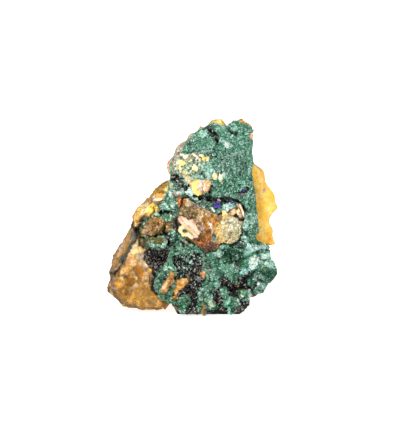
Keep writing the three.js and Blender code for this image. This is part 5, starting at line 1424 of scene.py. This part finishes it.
# Peach flake: a thin leaf of pale carbonate on the rock in the middle window, with fine stripes and a
# cream ring round a grey hole.
FLAKE_OUTLINE = [
    (-4.3, 30.3), (-3.8, 30.9), (-2.7, 30.8), (-2.2, 30.5), (-1.8, 31.0), (-1.5, 30.2), (-1.1, 29.9),
    (-0.3, 30.0), (0.0, 30.6), (0.6, 30.0), (1.1, 29.4), (1.8, 29.0), (1.5, 28.4), (2.0, 27.8), (1.8, 27.2),
    (2.2, 26.6), (2.5, 25.8), (2.2, 25.2), (2.1, 24.6), (1.3, 23.9), (0.8, 24.4), (0.0, 23.9), (-0.6, 24.3),
    (-1.4, 24.9), (-2.2, 24.8), (-3.0, 24.8), (-3.1, 25.4), (-3.8, 26.0), (-4.2, 26.8), (-4.0, 27.7),
    (-3.1, 28.2), (-3.2, 28.8), (-3.9, 29.5),
]
FLAKE_HOLE = (-2.1, 26.6, 0.8, 0.7, -20)
PEACH = (226, 186, 156)
PALE_PEACH = (240, 212, 188)
DEEP_PEACH = (196, 134, 104)

flake_bm = cut_leaf(FLAKE_OUTLINE, middle=(0.0, 27.5), depth=face_depth(-0.6, 27.6) - 0.7,
                    slant=(0.1, 0.16), thick=1.6)
bmesh.ops.scale(flake_bm, verts=flake_bm.verts, vec=(MM, MM, MM))
flake = put_in_scene("peach_flake", finished_mesh("peach_flake", flake_bm))
divide_evenly(flake, grain=0.17)
flake_points, flake_normals = read_surface(flake.data)
places = flat_places(flake_points)
across = (places[:, 0] + places[:, 1]) * 0.7
along = (places[:, 0] - places[:, 1]) * 0.7
stripe_points = np.column_stack([across * 2.2, along * 0.5, np.zeros(len(across))]) * MM
stripes = swell(stripe_points, (1.0, 1.0, 43), (0.5, 0.5, 44))
relief = 0.14 * stripes + swell(flake_points, (0.35, 1.9, 45), (0.12, 0.6, 46))
relief -= 0.7 * within(places, FLAKE_HOLE)
move_surface(flake.data, flake_points + flake_normals * (relief * MM)[:, None])
tint = lay(plain(PEACH, len(places)), between(stripes, 0.1, 0.8), PALE_PEACH)
tint = lay(tint, between(-stripes, 0.15, 0.8) * 0.9, DEEP_PEACH)

# Places of the flake: name, shape, colour, strength
FLAKE_PLACES = [
    ("white stripe", [0.4, (-2.5, 30.6), (-1.4, 28.8)], (246, 226, 208), 0.8),
    ("yellow rim", [0.4, (-3.2, 29.0), (-1.8, 27.9), (-0.2, 26.9), (0.8, 25.6)], (226, 196, 132), 0.7),
    ("cream ring", [0.75, (-3.3, 27.6), (-3.7, 26.4), (-2.4, 25.5), (-0.6, 25.2)], (242, 230, 168), 0.95),
    ("olive seam", [0.3, (-1.2, 26.6), (0.0, 25.7), (0.6, 25.0)], (142, 130, 66), 0.85),
    ("pink foot", (0.2, 24.5, 0.9, 0.6, 0), (228, 202, 190), 0.8),
    ("grey hole", (-2.1, 26.6, 0.8, 0.65, -20), (74, 84, 76), 0.95),
    ("mint speck", (0.1, 27.0, 0.5, 0.3, -30), (186, 206, 162), 0.7),
]
for _, shape, colour, strength in FLAKE_PLACES:
    tint = lay(tint, within(places, shape) * strength, colour)
put_tint(flake.data, tint * 0.88, np.full(len(places), 0.5))
flake.data.materials.append(chalky)
smooth_faces(flake.data)
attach(flake, "root")


# Azurite: three clusters of small six-sided deep blue blades that stand out from a common middle.
# Two sit at the edge of the dark crevice, and the third in the gap near the right edge.
INK = (30, 16, 104)
VIOLET = (104, 84, 196)
blade_bm = bmesh.new()
bmesh.ops.create_cone(blade_bm, cap_ends=True, segments=6, radius1=1.0, radius2=0.72, depth=2.0)
along_x = Matrix.Rotation(math.pi / 2, 3, "Y")
bmesh.ops.rotate(blade_bm, verts=blade_bm.verts, cent=(0, 0, 0), matrix=along_x)
blade_shape = shape_arrays(blade_bm)
# The inner half of each blade, toward the middle of its cluster, is half as bright: painted shade.
blade_lit_share = (blade_shape[0][:, 0] > 0) * 1.0
azure = stone_finish("azurite", roughness=0.5, gloss=0.38, grain=0.5, relief=0.05,
                     contrast=0.2, mirror=0.5)

# Clusters: name, number of blades, length of a blade in millimetres
AZURITES = [
    ("large", 34, 1.12),
    ("middle", 16, 0.62),
    ("small", 14, 0.62),
]
for seed, (size_name, blades, size) in enumerate(AZURITES):
    node = "azurite_cluster_" + size_name
    low, high = (np.array(corner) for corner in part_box(node))
    rng = np.random.default_rng(51 + seed)
    away = rng.normal(size=(blades, 3))
    away /= np.linalg.norm(away, axis=1)[:, None]
    middle = (low + high) / 2
    spots = middle + away * (high - low) * 0.3
    growth = rng.uniform(0.7, 1.2, blades) * size
    sizes = np.column_stack([0.5 * growth, 0.34 * growth, 0.2 * growth]) * MM
    glow = rng.uniform(0.0, 1.0, blades)
    tops = lay(plain(INK, blades), glow ** 1.5, VIOLET)
    turns = leaning_turns(away, 0.5, rng)
    cluster = spread_copies("azurite_" + size_name, blade_shape, spots, turns, sizes, blade_lit_share,
                            tops * 0.5, tops, np.full(blades, 0.8))
    cluster.data.materials.append(azure)
    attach(cluster, "root")
    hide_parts(node)
